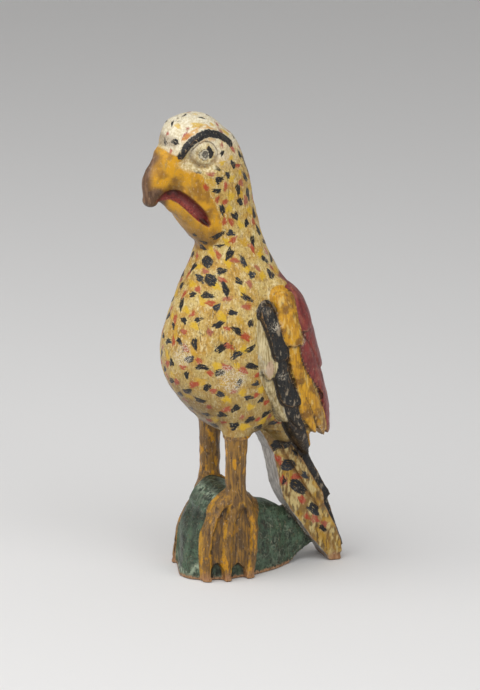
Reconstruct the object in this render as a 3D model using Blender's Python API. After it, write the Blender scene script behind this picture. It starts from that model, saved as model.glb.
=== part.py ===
"""A carved wooden parrot standing on a mound, cut from one block.

The bird looks along -Y and its left side is +X. Sizes are counted in small units of UNIT metres,
forward from the legs, up from the floor, and to the bird's left.
"""

import bpy
import numpy as np

HEIGHT = 0.33145  # metres from the floor to the crown
TALL = 473.5  # the same height in units
UNIT = HEIGHT / TALL
GRID = 1.5  # spacing of the grid that the form is carved from
TRIANGLES = 9400
FAR = 60.0
# corners of the block that the bird is cut from
BLOCK_LOW = (-66, -98, -3)
BLOCK_HIGH = (66, 134, 480)
SPARE = 8.0

# height, front, back and half width of the bird from belly to crown
BODY = (
    (146.0, -4, -16, 10), (147.5, 7, -33, 34), (151, 16, -42, 44), (158, 25, -48, 49), (168, 34.5, -53, 52),
    (180, 45, -57, 54), (195, 55.5, -61, 56), (210, 61, -64, 57), (225, 63, -66, 57), (240, 62, -67, 56.5),
    (255, 58.5, -68, 55), (270, 53.5, -68, 52.5), (285, 48, -66, 49.5), (300, 42, -62, 46), (314, 36, -55.5, 42),
    (326, 30, -49, 38), (338, 27, -44, 35), (348, 35, -40.5, 33.5), (360, 44.5, -37.5, 33), (372, 53, -35, 33),
    (382, 58, -32.5, 33.5), (394, 59, -30.5, 34.5), (406, 60, -27.5, 35), (418, 62, -24, 35), (430, 65, -20, 34.5),
    (440, 66.5, -15.5, 33.5), (450, 66, -9, 31), (459, 63, 1, 26.5), (466, 58, 9, 21), (471, 49, 18, 14),
    (473.5, 38, 26, 5),
)
BODY_POWER = 2.1
HEAD_TURN = np.radians(7.0)
TURN_FROM, TURN_TO = 335.0, 400.0

# the beak as tapered rods: forward and height of both ends, both radii, sideways stretch
BEAK = (
    ((56, 419), (73, 405), 25, 13.5, 0.92),
    ((72, 408), (78.5, 390), 14.5, 9.0, 0.92),
    ((62, 430), (76, 418), 10, 7.5, 0.7),
)
JAW = ((54, 381), (65.5, 391), 6.5, 6.0, 1.0)
RUMP = ((-34, 174), (-60, 142), 20, 17, 1.9)
MOUTH_TOP = (
    (74, 392), (67.5, 397), (60, 399.5), (54, 399), (48, 395), (41, 388.5), (34, 381.5), (27.5, 373), (24, 364),
)
MOUTH_LOW = ((25, 362), (30, 364.5), (36.5, 369), (42.5, 374.5), (48.5, 380.5), (54.5, 386.5), (60, 389.5), (76, 388))
MOUTH_DEPTH = 6.5
EYE = (34.2, 437.2)
EYE_RADIUS = 12.5
BROW = ((57, 435.6), (52, 445), (45.4, 451.5), (36, 456), (29, 457.4), (17.5, 453.8), (10.5, 446.0))

# height, front, back and half width of the folded wings and the back between them
WINGS = (
    (118, -50, -100, 24), (130, -46, -106, 33), (142, -38, -108, 42), (156, -30, -107.5, 48),
    (172, -22, -105.5, 52), (190, -14, -102, 54.5), (210, -8, -97, 56), (230, -6, -92, 56.5),
    (250, -8, -87.5, 55.5), (266, -10, -83, 53), (280, -14, -78, 49.5), (292, -20, -71.5, 45.5),
    (302, -28, -62, 39), (308, -36, -52, 28),
)
WINGS_POWER = 2.3
# outline of each feather (forward, height), and how far it stands out at its root and at its tip
FEATHERS = (
    (((-21.5, 268), (-20.5, 244), (-22, 217), (-28, 206), (-34, 207.5), (-38, 224), (-36, 244), (-29, 262)), 1.0, 5.6),
    (((-23, 226), (-24.6, 208), (-36.7, 184), (-46.7, 161), (-55.5, 161), (-55, 182), (-48, 204), (-36, 226)), 0.0, 3.2),
    (((-20.8, 273), (-23, 281), (-29, 285), (-36, 281), (-41, 270), (-45, 256), (-49, 243), (-49.5, 229), (-41, 226.5),
      (-33.5, 228), (-29, 246)), 4.6, 7.0),
    (((-31, 246), (-29, 229), (-34.5, 207), (-44, 179), (-62.5, 179.5), (-57, 198), (-51, 216), (-46, 240)), 2.6, 6.8),
    (((-40, 206), (-46, 181), (-53, 161), (-68.5, 149), (-70, 166), (-64, 184), (-56, 204)), 1.6, 5.6),
    (((-52, 172), (-56, 149), (-79, 117), (-87, 115), (-78, 136), (-71, 154), (-64, 172)), 1.5, 4.0),
    (((-37, 291), (-48, 297), (-59, 290), (-61, 266), (-66, 247), (-62, 240.5), (-48, 241), (-41, 259)), 4.6, 8.0),
    (((-47, 256), (-48.5, 229), (-55, 205), (-62, 190), (-76, 164), (-92, 139.5), (-97.5, 145), (-94.5, 163),
      (-86.5, 184), (-80, 203), (-72, 214), (-65, 228), (-62, 252)), 3.4, 6.0),
    (((-55, 206), (-60, 180), (-67, 160), (-80, 145), (-84.5, 150), (-77, 170), (-69, 186), (-60, 206)), 5.0, 8.0),
    (((-66, 164), (-69, 148), (-79, 126), (-84, 127), (-77, 150), (-74, 164)), 1.2, 3.0),
    (((-48, 294), (-56, 268), (-61, 245), (-65, 222), (-76, 203), (-89, 185), (-93, 190), (-91.5, 203), (-86.5, 216),
      (-80.5, 230), (-75, 241), (-67, 252), (-62, 268), (-60, 292)), 4.4, 6.4),
    (((-56, 294), (-66, 296), (-75, 287), (-83, 270), (-82, 258), (-72, 252), (-60, 258)), 3.4, 7.0),
    (((-64, 272), (-70, 240), (-84, 213), (-95, 211), (-98, 220), (-94, 240), (-84, 272)), 2.0, 5.4),
    (((-80, 232), (-90, 190), (-92, 165), (-98, 141), (-108, 141), (-112, 175), (-106, 205), (-92, 232)), 1.0, 4.4),
)
WING_FILL = (
    (-14, 296), (-36, 306), (-62, 300), (-80, 270), (-96, 215), (-99, 160), (-86, 160), (-70, 152), (-60, 155),
    (-50, 163), (-30, 190), (-18, 225), (-12, 262),
)

LEG_APART = 39.0
LEG_RADIUS = 11.4

# side outline (forward, height) and half width of the layers of the tail
TAIL = (
    (((-28, 152), (-37.5, 137), (-47, 120), (-51, 103), (-54, 86), (-58.5, 71), (-66, 58), (-76.5, 44), (-88, 27),
      (-101, 11), (-110, -1), (-114, -6), (-121, -6), (-123.5, 9), (-121, 21), (-114.5, 37), (-101, 58), (-87, 86),
      (-74, 110), (-64, 126), (-56, 146)), 19.5),
    (((-58, 142), (-70, 127), (-79, 112.5), (-91, 91.5), (-102, 73.5), (-103.5, 62), (-96, 58), (-85, 76), (-72, 98),
      (-60, 118), (-50, 136)), 22.5),
    (((-94, 68), (-103, 62), (-116.2, 38), (-122, 21), (-124, 8), (-116, 4), (-106, 30), (-94, 54)), 21.0),
    (((-54, 150), (-74.5, 149), (-88.5, 115), (-80, 113), (-66, 126)), 18.0),
    (((-76, 124), (-87, 117), (-113, 69), (-106, 64), (-88, 92)), 16.5),
    (((-98, 76), (-108, 70), (-127, 14), (-121, 10), (-110, 46)), 15.0),
)

# forward, crest height, half width at the floor and height of the underside of the mound
MOUND = (
    (53, 8, 5, 0), (51, 24, 14, 0), (48, 38, 24, 0), (43, 51, 31, 0), (34, 66, 36.5, 0), (24, 80, 40, 0),
    (12, 89, 42, 0), (0, 91, 42, 0), (-12, 87, 40.5, 0), (-22, 78, 38, 0), (-32, 71, 34.5, 0), (-46, 67, 28.5, 0),
    (-56, 63, 22.5, 0), (-64, 58, 16.5, 0), (-75, 52, 13, 6), (-85, 43, 11, 13), (-97, 30, 9, 19),
)
# middle lines (forward, height) of the folds carved in the front of the mound
MOUND_FOLDS = (
    ((43, 22), (41, 38), (36, 52), (29, 63), (20, 74)),
    ((49, 16), (48, 30), (44, 44), (38, 56), (31, 66)),
)
# each foot hangs down one side of the mound: middle lines of its toes and outline of its web (forward, height)
LEFT_TOES = (
    ((9, 84), (17, 77), (24, 66), (30, 50), (32.5, 30), (31.5, 0)),
    ((3, 86), (6, 66), (10.5, 42), (11.8, 20), (11.5, 0)),
    ((-8, 84), (-16, 73), (-20.5, 54), (-19, 28), (-14, 0)),
)
LEFT_WEB = (
    (6, 94), (16, 86), (25, 75), (32, 62), (36.5, 44), (37.5, 24), (36, 0), (27.5, 0), (26, 13), (21, 19), (16, 12),
    (15, 0), (7.5, 0), (6, 12), (-0.5, 17.5), (-7, 11), (-9.5, 0), (-18, 0), (-21, 14), (-23.5, 34), (-27, 55),
    (-33, 72), (-38, 82), (-28, 92), (-12, 98),
)
RIGHT_TOES = (
    ((6, 84), (14, 66), (24, 49), (31.5, 32), (33.5, 15), (31.5, 0)),
    ((1, 86), (4, 66), (8.5, 42), (9.8, 20), (9.5, 0)),
    ((-6, 84), (-11, 72), (-17, 54), (-17.5, 28), (-15, 0)),
)
RIGHT_WEB = (
    (7, 92), (17, 74), (28, 57), (38, 42), (44, 26), (44, 0), (27, 0), (25.5, 13), (20, 19.5), (14.5, 12), (13, 0),
    (5.5, 0), (4, 12), (-2, 17.5), (-8.5, 11), (-11, 0), (-18.5, 0), (-21.5, 14), (-22, 34), (-23, 55), (-27, 76),
    (-19, 83), (-10, 90),
)
WEB_THICK = 4.4
TOE_RISE = 4.0
TOE_RADIUS = 5.6
FOLD_DEPTH = 2.2
FOLD_WIDTH = 3.0
FOOT_INNER = 27.0


def spline(rows, per=12):
    """Rows of numbers with smooth steps put in between them"""
    rows = np.asarray(rows, float)
    ends = np.vstack([2 * rows[0] - rows[1], rows, 2 * rows[-1] - rows[-2]])
    out = []
    for a, b, c, d in zip(ends, ends[1:], ends[2:], ends[3:]):
        t = np.linspace(0, 1, per, endpoint=False)[:, None]
        out.append(0.5 * (2 * b + (c - a) * t + (2 * a - 5 * b + 4 * c - d) * t**2 + (3 * b - a - 3 * c + d) * t**3))
    return np.vstack(out + [rows[-1:]])


def curved(points, per=5):
    """A closed outline rounded through its points"""
    b = np.asarray(points, float)
    a, c, d = np.roll(b, 1, 0), np.roll(b, -1, 0), np.roll(b, -2, 0)
    out = []
    for t in np.linspace(0, 1, per, endpoint=False):
        out.append(0.5 * (2 * b + (c - a) * t + (2 * a - 5 * b + 4 * c - d) * t**2 + (3 * b - a - 3 * c + d) * t**3))
    return np.stack(out, axis=1).reshape(-1, 2)


def smooth_min(a, b, k):
    h = np.clip(0.5 + 0.5 * (b - a) / k, 0, 1)
    return b + (a - b) * h - k * h * (1 - h)


def ramp(v, low, high):
    t = np.clip((v - low) / (high - low), 0, 1)
    return t * t * (3 - 2 * t)


def path_distance(u, v, points):
    best = np.full(np.broadcast(u, v).shape, 1e9)
    for (a, b), (c, d) in zip(points, points[1:]):
        t = np.clip(((u - a) * (c - a) + (v - b) * (d - b)) / ((c - a) ** 2 + (d - b) ** 2), 0, 1)
        best = np.minimum(best, np.hypot(u - a - (c - a) * t, v - b - (d - b) * t))
    return best


def outline_distance(u, v, points):
    """Distance to a closed outline, negative inside it"""
    points = np.asarray(points, float)
    best = np.full(np.broadcast(u, v).shape, 1e9)
    inside = np.zeros(best.shape, bool)
    for (a, b), (c, d) in zip(points, np.roll(points, -1, axis=0)):
        t = np.clip(((u - a) * (c - a) + (v - b) * (d - b)) / ((c - a) ** 2 + (d - b) ** 2), 0, 1)
        best = np.minimum(best, np.hypot(u - a - (c - a) * t, v - b - (d - b) * t))
        if b != d:
            inside ^= ((b > v) != (d > v)) & (u < (c - a) * (v - b) / (d - b) + a)
    return np.where(inside, -best, best)


def loft(x, f, z, rows, power):
    """Sections given at heights, joined into one form"""
    table = spline(rows)
    heights = table[:, 0]
    level = np.clip(z, heights[0], heights[-1])
    front, back, half = (np.interp(level, heights, table[:, n]) for n in (1, 2, 3))
    deep = np.maximum((front - back) / 2, 1.0)
    half = np.maximum(half, 1.0)
    radius = (np.abs(x / half) ** power + np.abs((f - (front + back) / 2) / deep) ** power) ** (1 / power)
    return np.maximum((radius - 1) * np.minimum(deep, half), np.maximum(z - heights[-1], heights[0] - z))


def rod(x, f, z, start, end, first, last, stretch):
    df, dz = end[0] - start[0], end[1] - start[1]
    t = np.clip(((f - start[0]) * df + (z - start[1]) * dz) / (df * df + dz * dz), 0, 1)
    away = np.sqrt((x / stretch) ** 2 + (f - start[0] - df * t) ** 2 + (z - start[1] - dz * t) ** 2)
    return away - (first + (last - first) * t)


class Block:
    """The block of wood as a grid of distances to the surface, negative inside the wood"""

    def __init__(self, low, high, step):
        self.step = step
        self.axes = [np.arange(a, b + step, step) for a, b in zip(low, high)]
        self.values = np.full([len(axis) for axis in self.axes], FAR)

    def window(self, low, high):
        """The part of the grid between two corners (x, forward, z), and its coordinates"""
        lows = (low[0], -high[1], low[2])
        highs = (high[0], -low[1], high[2])
        cut = tuple(
            slice(np.searchsorted(axis, a), np.searchsorted(axis, b, "right"))
            for axis, a, b in zip(self.axes, lows, highs)
        )
        x, y, z = np.meshgrid(*(axis[c] for axis, c in zip(self.axes, cut)), indexing="ij", sparse=True)
        return cut, x, -y, z

    def window_around(self, rows):
        """The part of the grid that holds a form given as rows of height, front, back and half width"""
        low, high = np.min(rows, axis=0), np.max(rows, axis=0)
        half = high[3] + SPARE
        return self.window((-half, low[2] - SPARE, low[0] - SPARE), (half, high[1] + SPARE, high[0] + SPARE))

    def even(self, values):
        """The same surface with distances that grow evenly away from it"""
        slopes = np.gradient(values, self.step)
        return values / np.maximum(np.sqrt(sum(s * s for s in slopes)), 0.3)

    def join(self, cut, values, blend=0.0):
        old = self.values[cut]
        self.values[cut] = smooth_min(old, values, blend) if blend else np.minimum(old, values)


def turned(x, f, z):
    """The head's own directions: it looks a little to its left"""
    angle = HEAD_TURN * ramp(z, TURN_FROM, TURN_TO)
    return x * np.cos(angle) - f * np.sin(angle), x * np.sin(angle) + f * np.cos(angle)


def add_body(block):
    cut, x, f, z = block.window_around(BODY)
    head_x, head_f = turned(x, f, z)
    block.join(cut, block.even(loft(head_x, head_f, z, BODY, BODY_POWER)))


def add_beak(block):
    cut, x, f, z = block.window((-40, 35, 368), (40, 96, 448))
    head_x, head_f = turned(x, f, z)
    rods = [rod(head_x, head_f, z, *numbers) for numbers in BEAK]
    beak = smooth_min(smooth_min(rods[0], rods[1], 5.0), rods[2], 5.0)
    block.join(cut, block.even(smooth_min(beak, rod(head_x, head_f, z, *JAW), 2.0)), 6.0)


def add_rump(block):
    cut, x, f, z = block.window((-60, -90, 110), (60, 0, 200))
    block.join(cut, block.even(rod(x, f, z, *RUMP)), 8.0)


def add_wings(block):
    cut, x, f, z = block.window_around(WINGS)
    mass = block.even(loft(x, f, z, WINGS, WINGS_POWER))
    edge = outline_distance(f, z, curved(WING_FILL))
    relief = np.zeros(edge.shape)
    for points, low, high in FEATHERS:
        inside = outline_distance(f, z, curved(points))
        edge = np.minimum(edge, inside)
        top = max(p[1] for p in points)
        bottom = min(p[1] for p in points)
        share = np.clip((top - z) / (top - bottom), 0, 1)
        rise = (low + (high - low) * share) * ramp(-inside, -0.4, 1.4) + 0.9 * ramp(-inside, 0.5, 6.0) - 0.5
        relief = np.where(inside < 0.4, np.maximum(relief, rise), relief)
    joined = smooth_min(block.values[cut], np.maximum(mass, edge), 6.0)
    block.values[cut] = joined - relief * ramp(np.abs(x), 8, 18)


def add_leg(block, side):
    cut, x, f, z = block.window((side * LEG_APART - 24, -24, 60), (side * LEG_APART + 24, 24, 186))
    radius = LEG_RADIUS + 1.2 * ramp(z, 122, 146) - 8.0 * ramp(z, 150, 168)
    radius = radius + 1.6 * ramp(-z, -98, -76) - 7.0 * ramp(-z, -82, -64)
    leg = np.maximum(np.hypot(x - side * LEG_APART, f + 0.5) - radius, np.abs(z - 114) - 50)
    block.join(cut, block.even(leg), 9.0)


def add_tail(block):
    cut, x, f, z = block.window((-34, -134, -3), (34, -20, 200))
    for points, half in TAIL:
        side = outline_distance(f, z, points) + 2.0
        across = np.abs(x) - half + 2.0
        outside = np.hypot(np.maximum(side, 0), np.maximum(across, 0))
        block.join(cut, outside + np.minimum(np.maximum(side, across), 0) - 2.0, 1.2)


def add_mound_and_feet(block):
    cut, x, f, z = block.window((-62, -96, -3), (62, 64, 104))
    table = spline(MOUND)[::-1]
    crest, half, floor = (np.interp(f, table[:, 0], table[:, n]) for n in (1, 2, 3))
    ends = np.maximum(f - MOUND[0][0], MOUND[-1][0] - f)
    power = 3.2 + 3.0 * ramp(f, -30, 5) - 3.0 * ramp(f, 12, 40)
    bulge = (np.abs(x / half) ** power + np.clip(z / crest, 0, 4) ** 2.4) ** (1 / 2.8) - 1
    corner = (f - 47.5 - 0.28 * x) / 1.04
    mound = -smooth_min(-np.maximum(bulge * np.minimum(half, crest), ends), -corner, 5.0)
    mound = block.even(np.maximum(mound, floor - z))
    block.join(cut, mound, 2.0)
    for side, toes, web in ((1, LEFT_TOES, LEFT_WEB), (-1, RIGHT_TOES, RIGHT_WEB)):
        thick = np.full(np.broadcast(f, z).shape, WEB_THICK)
        for toe in toes:
            near = np.clip(path_distance(f, z, toe) / TOE_RADIUS, 0, 1)
            thick = np.maximum(thick, WEB_THICK + TOE_RISE * np.sqrt(1 - near**2))
        foot = np.maximum(mound - thick, outline_distance(f, z, web))
        inner = FOOT_INNER - 14.0 * ramp(-f, 8, 26)
        block.join(cut, block.even(np.maximum(foot, inner - side * x)), 4.0)


def carve_face(block):
    cut, x, f, z = block.window((-46, 0, 355), (46, 92, 410))
    head_x, head_f = turned(x, f, z)
    inside = outline_distance(head_f, z, MOUTH_TOP + MOUTH_LOW)
    deep = MOUTH_DEPTH - 3.4 * ramp(path_distance(head_f, z, MOUTH_TOP), 4.0, 10.0)
    deep = deep * (1 - 0.8 * ramp(head_f, 48, 64))
    block.values[cut] += deep * ramp(-inside, -0.6, 2.2) * ramp(np.abs(head_x), 2.0, 7.0)

    cut, x, f, z = block.window((-46, -10, 405), (46, 72, 472))
    head_x, head_f = turned(x, f, z)
    from_eye = np.hypot(head_f - EYE[0], z - EYE[1])
    hollow = np.hypot((head_f - EYE[0] - 3) / 22, (z - EYE[1] + 6) / 15)
    socket = 4.5 * ramp(-hollow, -1.05, -0.35)
    ball = 4.4 * np.clip(1 - (from_eye / EYE_RADIUS) ** 2, 0, 1) ** 0.8
    ridge = 3.2 * np.exp(-((path_distance(head_f, z, BROW) / 5.0) ** 2))
    block.values[cut] += (socket - ball - ridge) * ramp(np.abs(head_x), 12, 20)


def carve_mound(block):
    cut, x, f, z = block.window((-50, 0, 0), (50, 56, 92))
    near = np.min([path_distance(f, z, fold) for fold in MOUND_FOLDS], axis=0)
    block.values[cut] += FOLD_DEPTH * np.exp(-((near / FOLD_WIDTH) ** 2)) * (block.values[cut] > -6) * ramp(f, 8, 18)


def surface(block):
    """Points and quads of the surface where the distance is nothing"""
    v = np.pad(block.values, 1, constant_values=FAR)
    inside = v < 0
    corners = [(i, j, k) for i in (0, 1) for j in (0, 1) for k in (0, 1)]
    shape = [n - 1 for n in v.shape]
    seen = [inside[i : i + shape[0], j : j + shape[1], k : k + shape[2]] for i, j, k in corners]
    cells = np.logical_or.reduce(seen) & ~np.logical_and.reduce(seen)
    where = np.argwhere(cells)
    index = np.full(cells.shape, -1, np.int64)
    index[cells] = np.arange(len(where))
    total = np.zeros((len(where), 3))
    count = np.zeros(len(where))
    for corner in corners:
        for n in range(3):
            if corner[n]:
                continue
            other = list(corner)
            other[n] = 1
            va = v[tuple((where + corner).T)]
            vb = v[tuple((where + other).T)]
            crossed = (va < 0) != (vb < 0)
            point = np.tile(np.array(corner, float), (len(where), 1))
            point[:, n] += np.where(crossed, va / np.where(crossed, va - vb, 1), 0)
            total += point * crossed[:, None]
            count += crossed
    origin = np.array([axis[0] - block.step for axis in block.axes])
    points = origin + (where + total / count[:, None]) * block.step
    quads = []
    for n in range(3):
        a, b = (inside.take(range(start, inside.shape[n] - 1 + start), axis=n) for start in (0, 1))
        m, o = (q for q in range(3) if q != n)
        for edge, backward in ((a & ~b, n == 1), (~a & b, n != 1)):
            at = np.argwhere(edge)
            ring = []
            for dm, do in ((1, 1), (0, 1), (0, 0), (1, 0)):
                cell = at.copy()
                cell[:, m] -= dm
                cell[:, o] -= do
                ring.append(index[tuple(cell.T)])
            ring = np.stack(ring, axis=1)
            quads.append(ring[:, ::-1] if backward else ring)
    return points, np.vstack(quads)


def carved_parrot():
    block = Block(BLOCK_LOW, BLOCK_HIGH, GRID)
    add_body(block)
    add_beak(block)
    add_rump(block)
    add_wings(block)
    for side in (1, -1):
        add_leg(block, side)
    add_tail(block)
    add_mound_and_feet(block)
    carve_mound(block)
    carve_face(block)
    block.values = np.maximum(block.values, -block.axes[2])
    points, quads = surface(block)
    mesh = bpy.data.meshes.new("carved_parrot")
    mesh.from_pydata((points * UNIT).tolist(), [], quads.tolist())
    mesh.update()
    obj = bpy.data.objects.new("carved_parrot", mesh)
    bpy.context.scene.collection.objects.link(obj)
    closed = obj.modifiers.new("closed_skin", "REMESH")
    closed.mode = "VOXEL"
    closed.voxel_size = GRID * UNIT
    fewer = obj.modifiers.new("fewer_faces", "DECIMATE")
    fewer.ratio = TRIANGLES / (2 * len(quads))
    fewer.use_collapse_triangulate = True
    wood = bpy.data.materials.new("painted_wood")
    wood.use_nodes = True
    shader = wood.node_tree.nodes["Principled BSDF"]
    shader.inputs["Base Color"].default_value = (0.62, 0.50, 0.26, 1.0)
    shader.inputs["Roughness"].default_value = 0.5
    mesh.materials.append(wood)


for old in list(bpy.data.objects):
    bpy.data.objects.remove(old)
carved_parrot()
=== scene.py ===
"""The carved and painted parrot of the frame, dressed to match its photograph.

The bird looks along -Y and its left side is +X. Sizes are counted in small units of UNIT metres,
forward from the legs (f), up from the floor (z), and to the bird's left (x).
"""

import bpy
import numpy as np
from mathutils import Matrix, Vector, kdtree


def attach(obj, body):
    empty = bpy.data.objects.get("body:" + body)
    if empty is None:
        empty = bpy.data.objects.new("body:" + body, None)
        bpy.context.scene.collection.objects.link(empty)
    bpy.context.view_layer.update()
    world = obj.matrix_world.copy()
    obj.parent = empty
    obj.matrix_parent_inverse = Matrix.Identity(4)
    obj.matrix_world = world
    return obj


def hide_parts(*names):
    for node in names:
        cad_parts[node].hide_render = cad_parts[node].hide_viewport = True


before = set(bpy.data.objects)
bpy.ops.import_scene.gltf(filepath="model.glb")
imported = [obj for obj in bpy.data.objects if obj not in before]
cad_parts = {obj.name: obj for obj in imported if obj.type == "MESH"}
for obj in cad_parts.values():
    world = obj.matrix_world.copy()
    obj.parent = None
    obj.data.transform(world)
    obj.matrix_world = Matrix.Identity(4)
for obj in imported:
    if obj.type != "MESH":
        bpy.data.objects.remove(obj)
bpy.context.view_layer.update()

UNIT = 0.0007
GRID = 1.4
TRIANGLES = 196000
# a distance that counts as far from the wood, the corners of the block and the room left around a form
FAR = 60.0
BLOCK_LOW = (-66, -98, -3)
BLOCK_HIGH = (66, 134, 480)
SPARE = 8.0
# corners (x, forward, height) of the parts of the block that hold each form
BEAK_ROOM = (-40, 35, 368), (40, 96, 448)
MOUTH_ROOM = (-46, 0, 355), (46, 92, 410)
EYE_ROOM = (-46, -10, 405), (46, 72, 472)
RUMP_ROOM = (-60, -90, 110), (60, 0, 200)
TAIL_ROOM = (-34, -134, -3), (34, -20, 200)
MOUND_ROOM = (-62, -96, -3), (62, 64, 104)
FOLD_ROOM = (-50, 0, 0), (50, 56, 92)

# height, front, back and half width of the bird from belly to crown
BODY = (
    (146.0, -4, -16, 10), (147.5, 7, -33, 34), (151, 16, -42, 44), (158, 25, -48, 49), (168, 34.5, -53, 52),
    (180, 45, -57, 54), (195, 55.5, -61, 56), (210, 61, -64, 57), (225, 63, -66, 57), (240, 62, -67, 56.5),
    (255, 58.5, -68, 55), (270, 53.5, -68, 52.5), (285, 48, -66, 49.5), (300, 42, -62, 46), (314, 36, -55.5, 42),
    (326, 30, -49, 38), (338, 27, -44, 35), (348, 35, -40.5, 33.5), (360, 44.5, -37.5, 33), (372, 53, -35, 33),
    (382, 58, -32.5, 33.5), (394, 59, -30.5, 34.5), (406, 60, -27.5, 35), (418, 62, -24, 35), (430, 65, -20, 34.5),
    (440, 66.5, -15.5, 33.5), (450, 66, -9, 31), (459, 63, 1, 26.5), (466, 58, 9, 21), (471, 49, 18, 14),
    (473.5, 38, 26, 5),
)
BODY_POWER = 2.1
HEAD_TURN = np.radians(7.0)
TURN_FROM, TURN_TO = 335.0, 400.0

# the beak as tapered rods: forward and height of both ends, both radii, sideways stretch
BEAK = (
    ((56, 419), (73, 405), 25, 13.5, 0.92),
    ((72, 408), (78.5, 390), 14.5, 9.0, 0.92),
    ((62, 430), (76, 418), 10, 7.5, 0.7),
)
JAW = ((54, 381), (65.5, 391), 6.5, 6.0, 1.0)
RUMP = ((-34, 174), (-60, 142), 20, 17, 1.9)
MOUTH_TOP = (
    (74, 392), (67.5, 397), (60, 399.5), (54, 399), (48, 395), (41, 388.5), (34, 381.5), (27.5, 373), (24, 364),
)
MOUTH_LOW = (
    (25, 362), (30, 364.5), (36.5, 369), (42.5, 374.5), (48.5, 380.5), (54.5, 386.5), (60, 389.5),
    (76, 388),
)
MOUTH_DEPTH = 6.5
EYE = (34.2, 437.2)
EYE_RADIUS = 12.5
BROW = ((57, 435.6), (52, 445), (45.4, 451.5), (36, 456), (29, 457.4), (17.5, 453.8), (10.5, 446.0))

# height, front, back and half width of the folded wings and the back between them
WINGS = (
    (118, -50, -100, 24), (130, -46, -106, 33), (142, -38, -108, 42), (156, -30, -107.5, 48),
    (172, -22, -105.5, 52), (190, -14, -102, 54.5), (210, -8, -97, 56), (230, -6, -92, 56.5),
    (250, -8, -87.5, 55.5), (266, -10, -83, 53), (280, -14, -78, 49.5), (292, -20, -71.5, 45.5),
    (302, -28, -62, 39), (308, -36, -52, 28),
)
WINGS_POWER = 2.3
# outline of each feather (forward, height), and how far it stands out at its root and at its tip
FEATHERS = (
    (((-21.5, 268), (-20.5, 244), (-22, 217), (-28, 206), (-34, 207.5), (-38, 224), (-36, 244),
      (-29, 262)), 1.0, 5.6),
    (((-23, 226), (-24.6, 208), (-36.7, 184), (-46.7, 161), (-55.5, 161), (-55, 182), (-48, 204),
      (-36, 226)), 0.0, 3.2),
    (((-20.8, 273), (-23, 281), (-29, 285), (-36, 281), (-41, 270), (-45, 256), (-49, 243), (-49.5, 229),
      (-41, 226.5), (-33.5, 228), (-29, 246)), 4.6, 7.0),
    (((-31, 246), (-29, 229), (-34.5, 207), (-44, 179), (-62.5, 179.5), (-57, 198), (-51, 216),
      (-46, 240)), 2.6, 6.8),
    (((-40, 206), (-46, 181), (-53, 161), (-68.5, 149), (-70, 166), (-64, 184), (-56, 204)), 1.6, 5.6),
    (((-52, 172), (-56, 149), (-79, 117), (-87, 115), (-78, 136), (-71, 154), (-64, 172)), 1.5, 4.0),
    (((-37, 291), (-48, 297), (-59, 290), (-61, 266), (-66, 247), (-62, 240.5), (-48, 241), (-41, 259)), 4.6, 8.0),
    (((-47, 256), (-48.5, 229), (-55, 205), (-62, 190), (-76, 164), (-92, 139.5), (-97.5, 145), (-94.5, 163),
      (-86.5, 184), (-80, 203), (-72, 214), (-65, 228), (-62, 252)), 3.4, 6.0),
    (((-55, 206), (-60, 180), (-67, 160), (-80, 145), (-84.5, 150), (-77, 170), (-69, 186), (-60, 206)), 5.0, 8.0),
    (((-66, 164), (-69, 148), (-79, 126), (-84, 127), (-77, 150), (-74, 164)), 1.2, 3.0),
    (((-48, 294), (-56, 268), (-61, 245), (-65, 222), (-76, 203), (-89, 185), (-93, 190), (-91.5, 203), (-86.5, 216),
      (-80.5, 230), (-75, 241), (-67, 252), (-62, 268), (-60, 292)), 4.4, 6.4),
    (((-56, 294), (-66, 296), (-75, 287), (-83, 270), (-82, 258), (-72, 252), (-60, 258)), 3.4, 7.0),
    (((-64, 272), (-70, 240), (-84, 213), (-95, 211), (-98, 220), (-94, 240), (-84, 272)), 2.0, 5.4),
    (((-80, 232), (-90, 190), (-92, 165), (-98, 141), (-108, 141), (-112, 175), (-106, 205), (-92, 232)), 1.0, 4.4),
)
WING_FILL = (
    (-14, 296), (-36, 306), (-62, 300), (-80, 270), (-96, 215), (-99, 160), (-86, 160), (-70, 152), (-60, 155),
    (-50, 163), (-30, 190), (-18, 225), (-12, 262),
)

LEG_APART = 39.0
LEG_RADIUS = 11.4

# side outline (forward, height) and half width of the layers of the tail
TAIL = (
    (((-28, 152), (-37.5, 137), (-47, 120), (-51, 103), (-54, 86), (-58.5, 71), (-66, 58), (-76.5, 44), (-88, 27),
      (-101, 11), (-110, -1), (-114, -6), (-121, -6), (-123.5, 9), (-121, 21), (-114.5, 37), (-101, 58), (-87, 86),
      (-74, 110), (-64, 126), (-56, 146)), 19.5),
    (((-58, 142), (-70, 127), (-79, 112.5), (-91, 91.5), (-102, 73.5), (-103.5, 62), (-96, 58), (-85, 76), (-72, 98),
      (-60, 118), (-50, 136)), 22.5),
    (((-94, 68), (-103, 62), (-116.2, 38), (-122, 21), (-124, 8), (-116, 4), (-106, 30), (-94, 54)), 21.0),
    (((-54, 150), (-74.5, 149), (-88.5, 115), (-80, 113), (-66, 126)), 18.0),
    (((-76, 124), (-87, 117), (-113, 69), (-106, 64), (-88, 92)), 16.5),
    (((-98, 76), (-108, 70), (-127, 14), (-121, 10), (-110, 46)), 15.0),
)

# forward, crest height, half width at the floor and height of the underside of the mound
MOUND = (
    (53, 8, 5, 0), (51, 24, 14, 0), (48, 38, 24, 0), (43, 51, 31, 0), (34, 66, 36.5, 0), (24, 80, 40, 0),
    (12, 89, 42, 0), (0, 91, 42, 0), (-12, 87, 40.5, 0), (-22, 78, 38, 0), (-32, 71, 34.5, 0), (-46, 67, 28.5, 0),
    (-56, 63, 22.5, 0), (-64, 58, 16.5, 0), (-75, 52, 13, 6), (-85, 43, 11, 13), (-97, 30, 9, 19),
)
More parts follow.
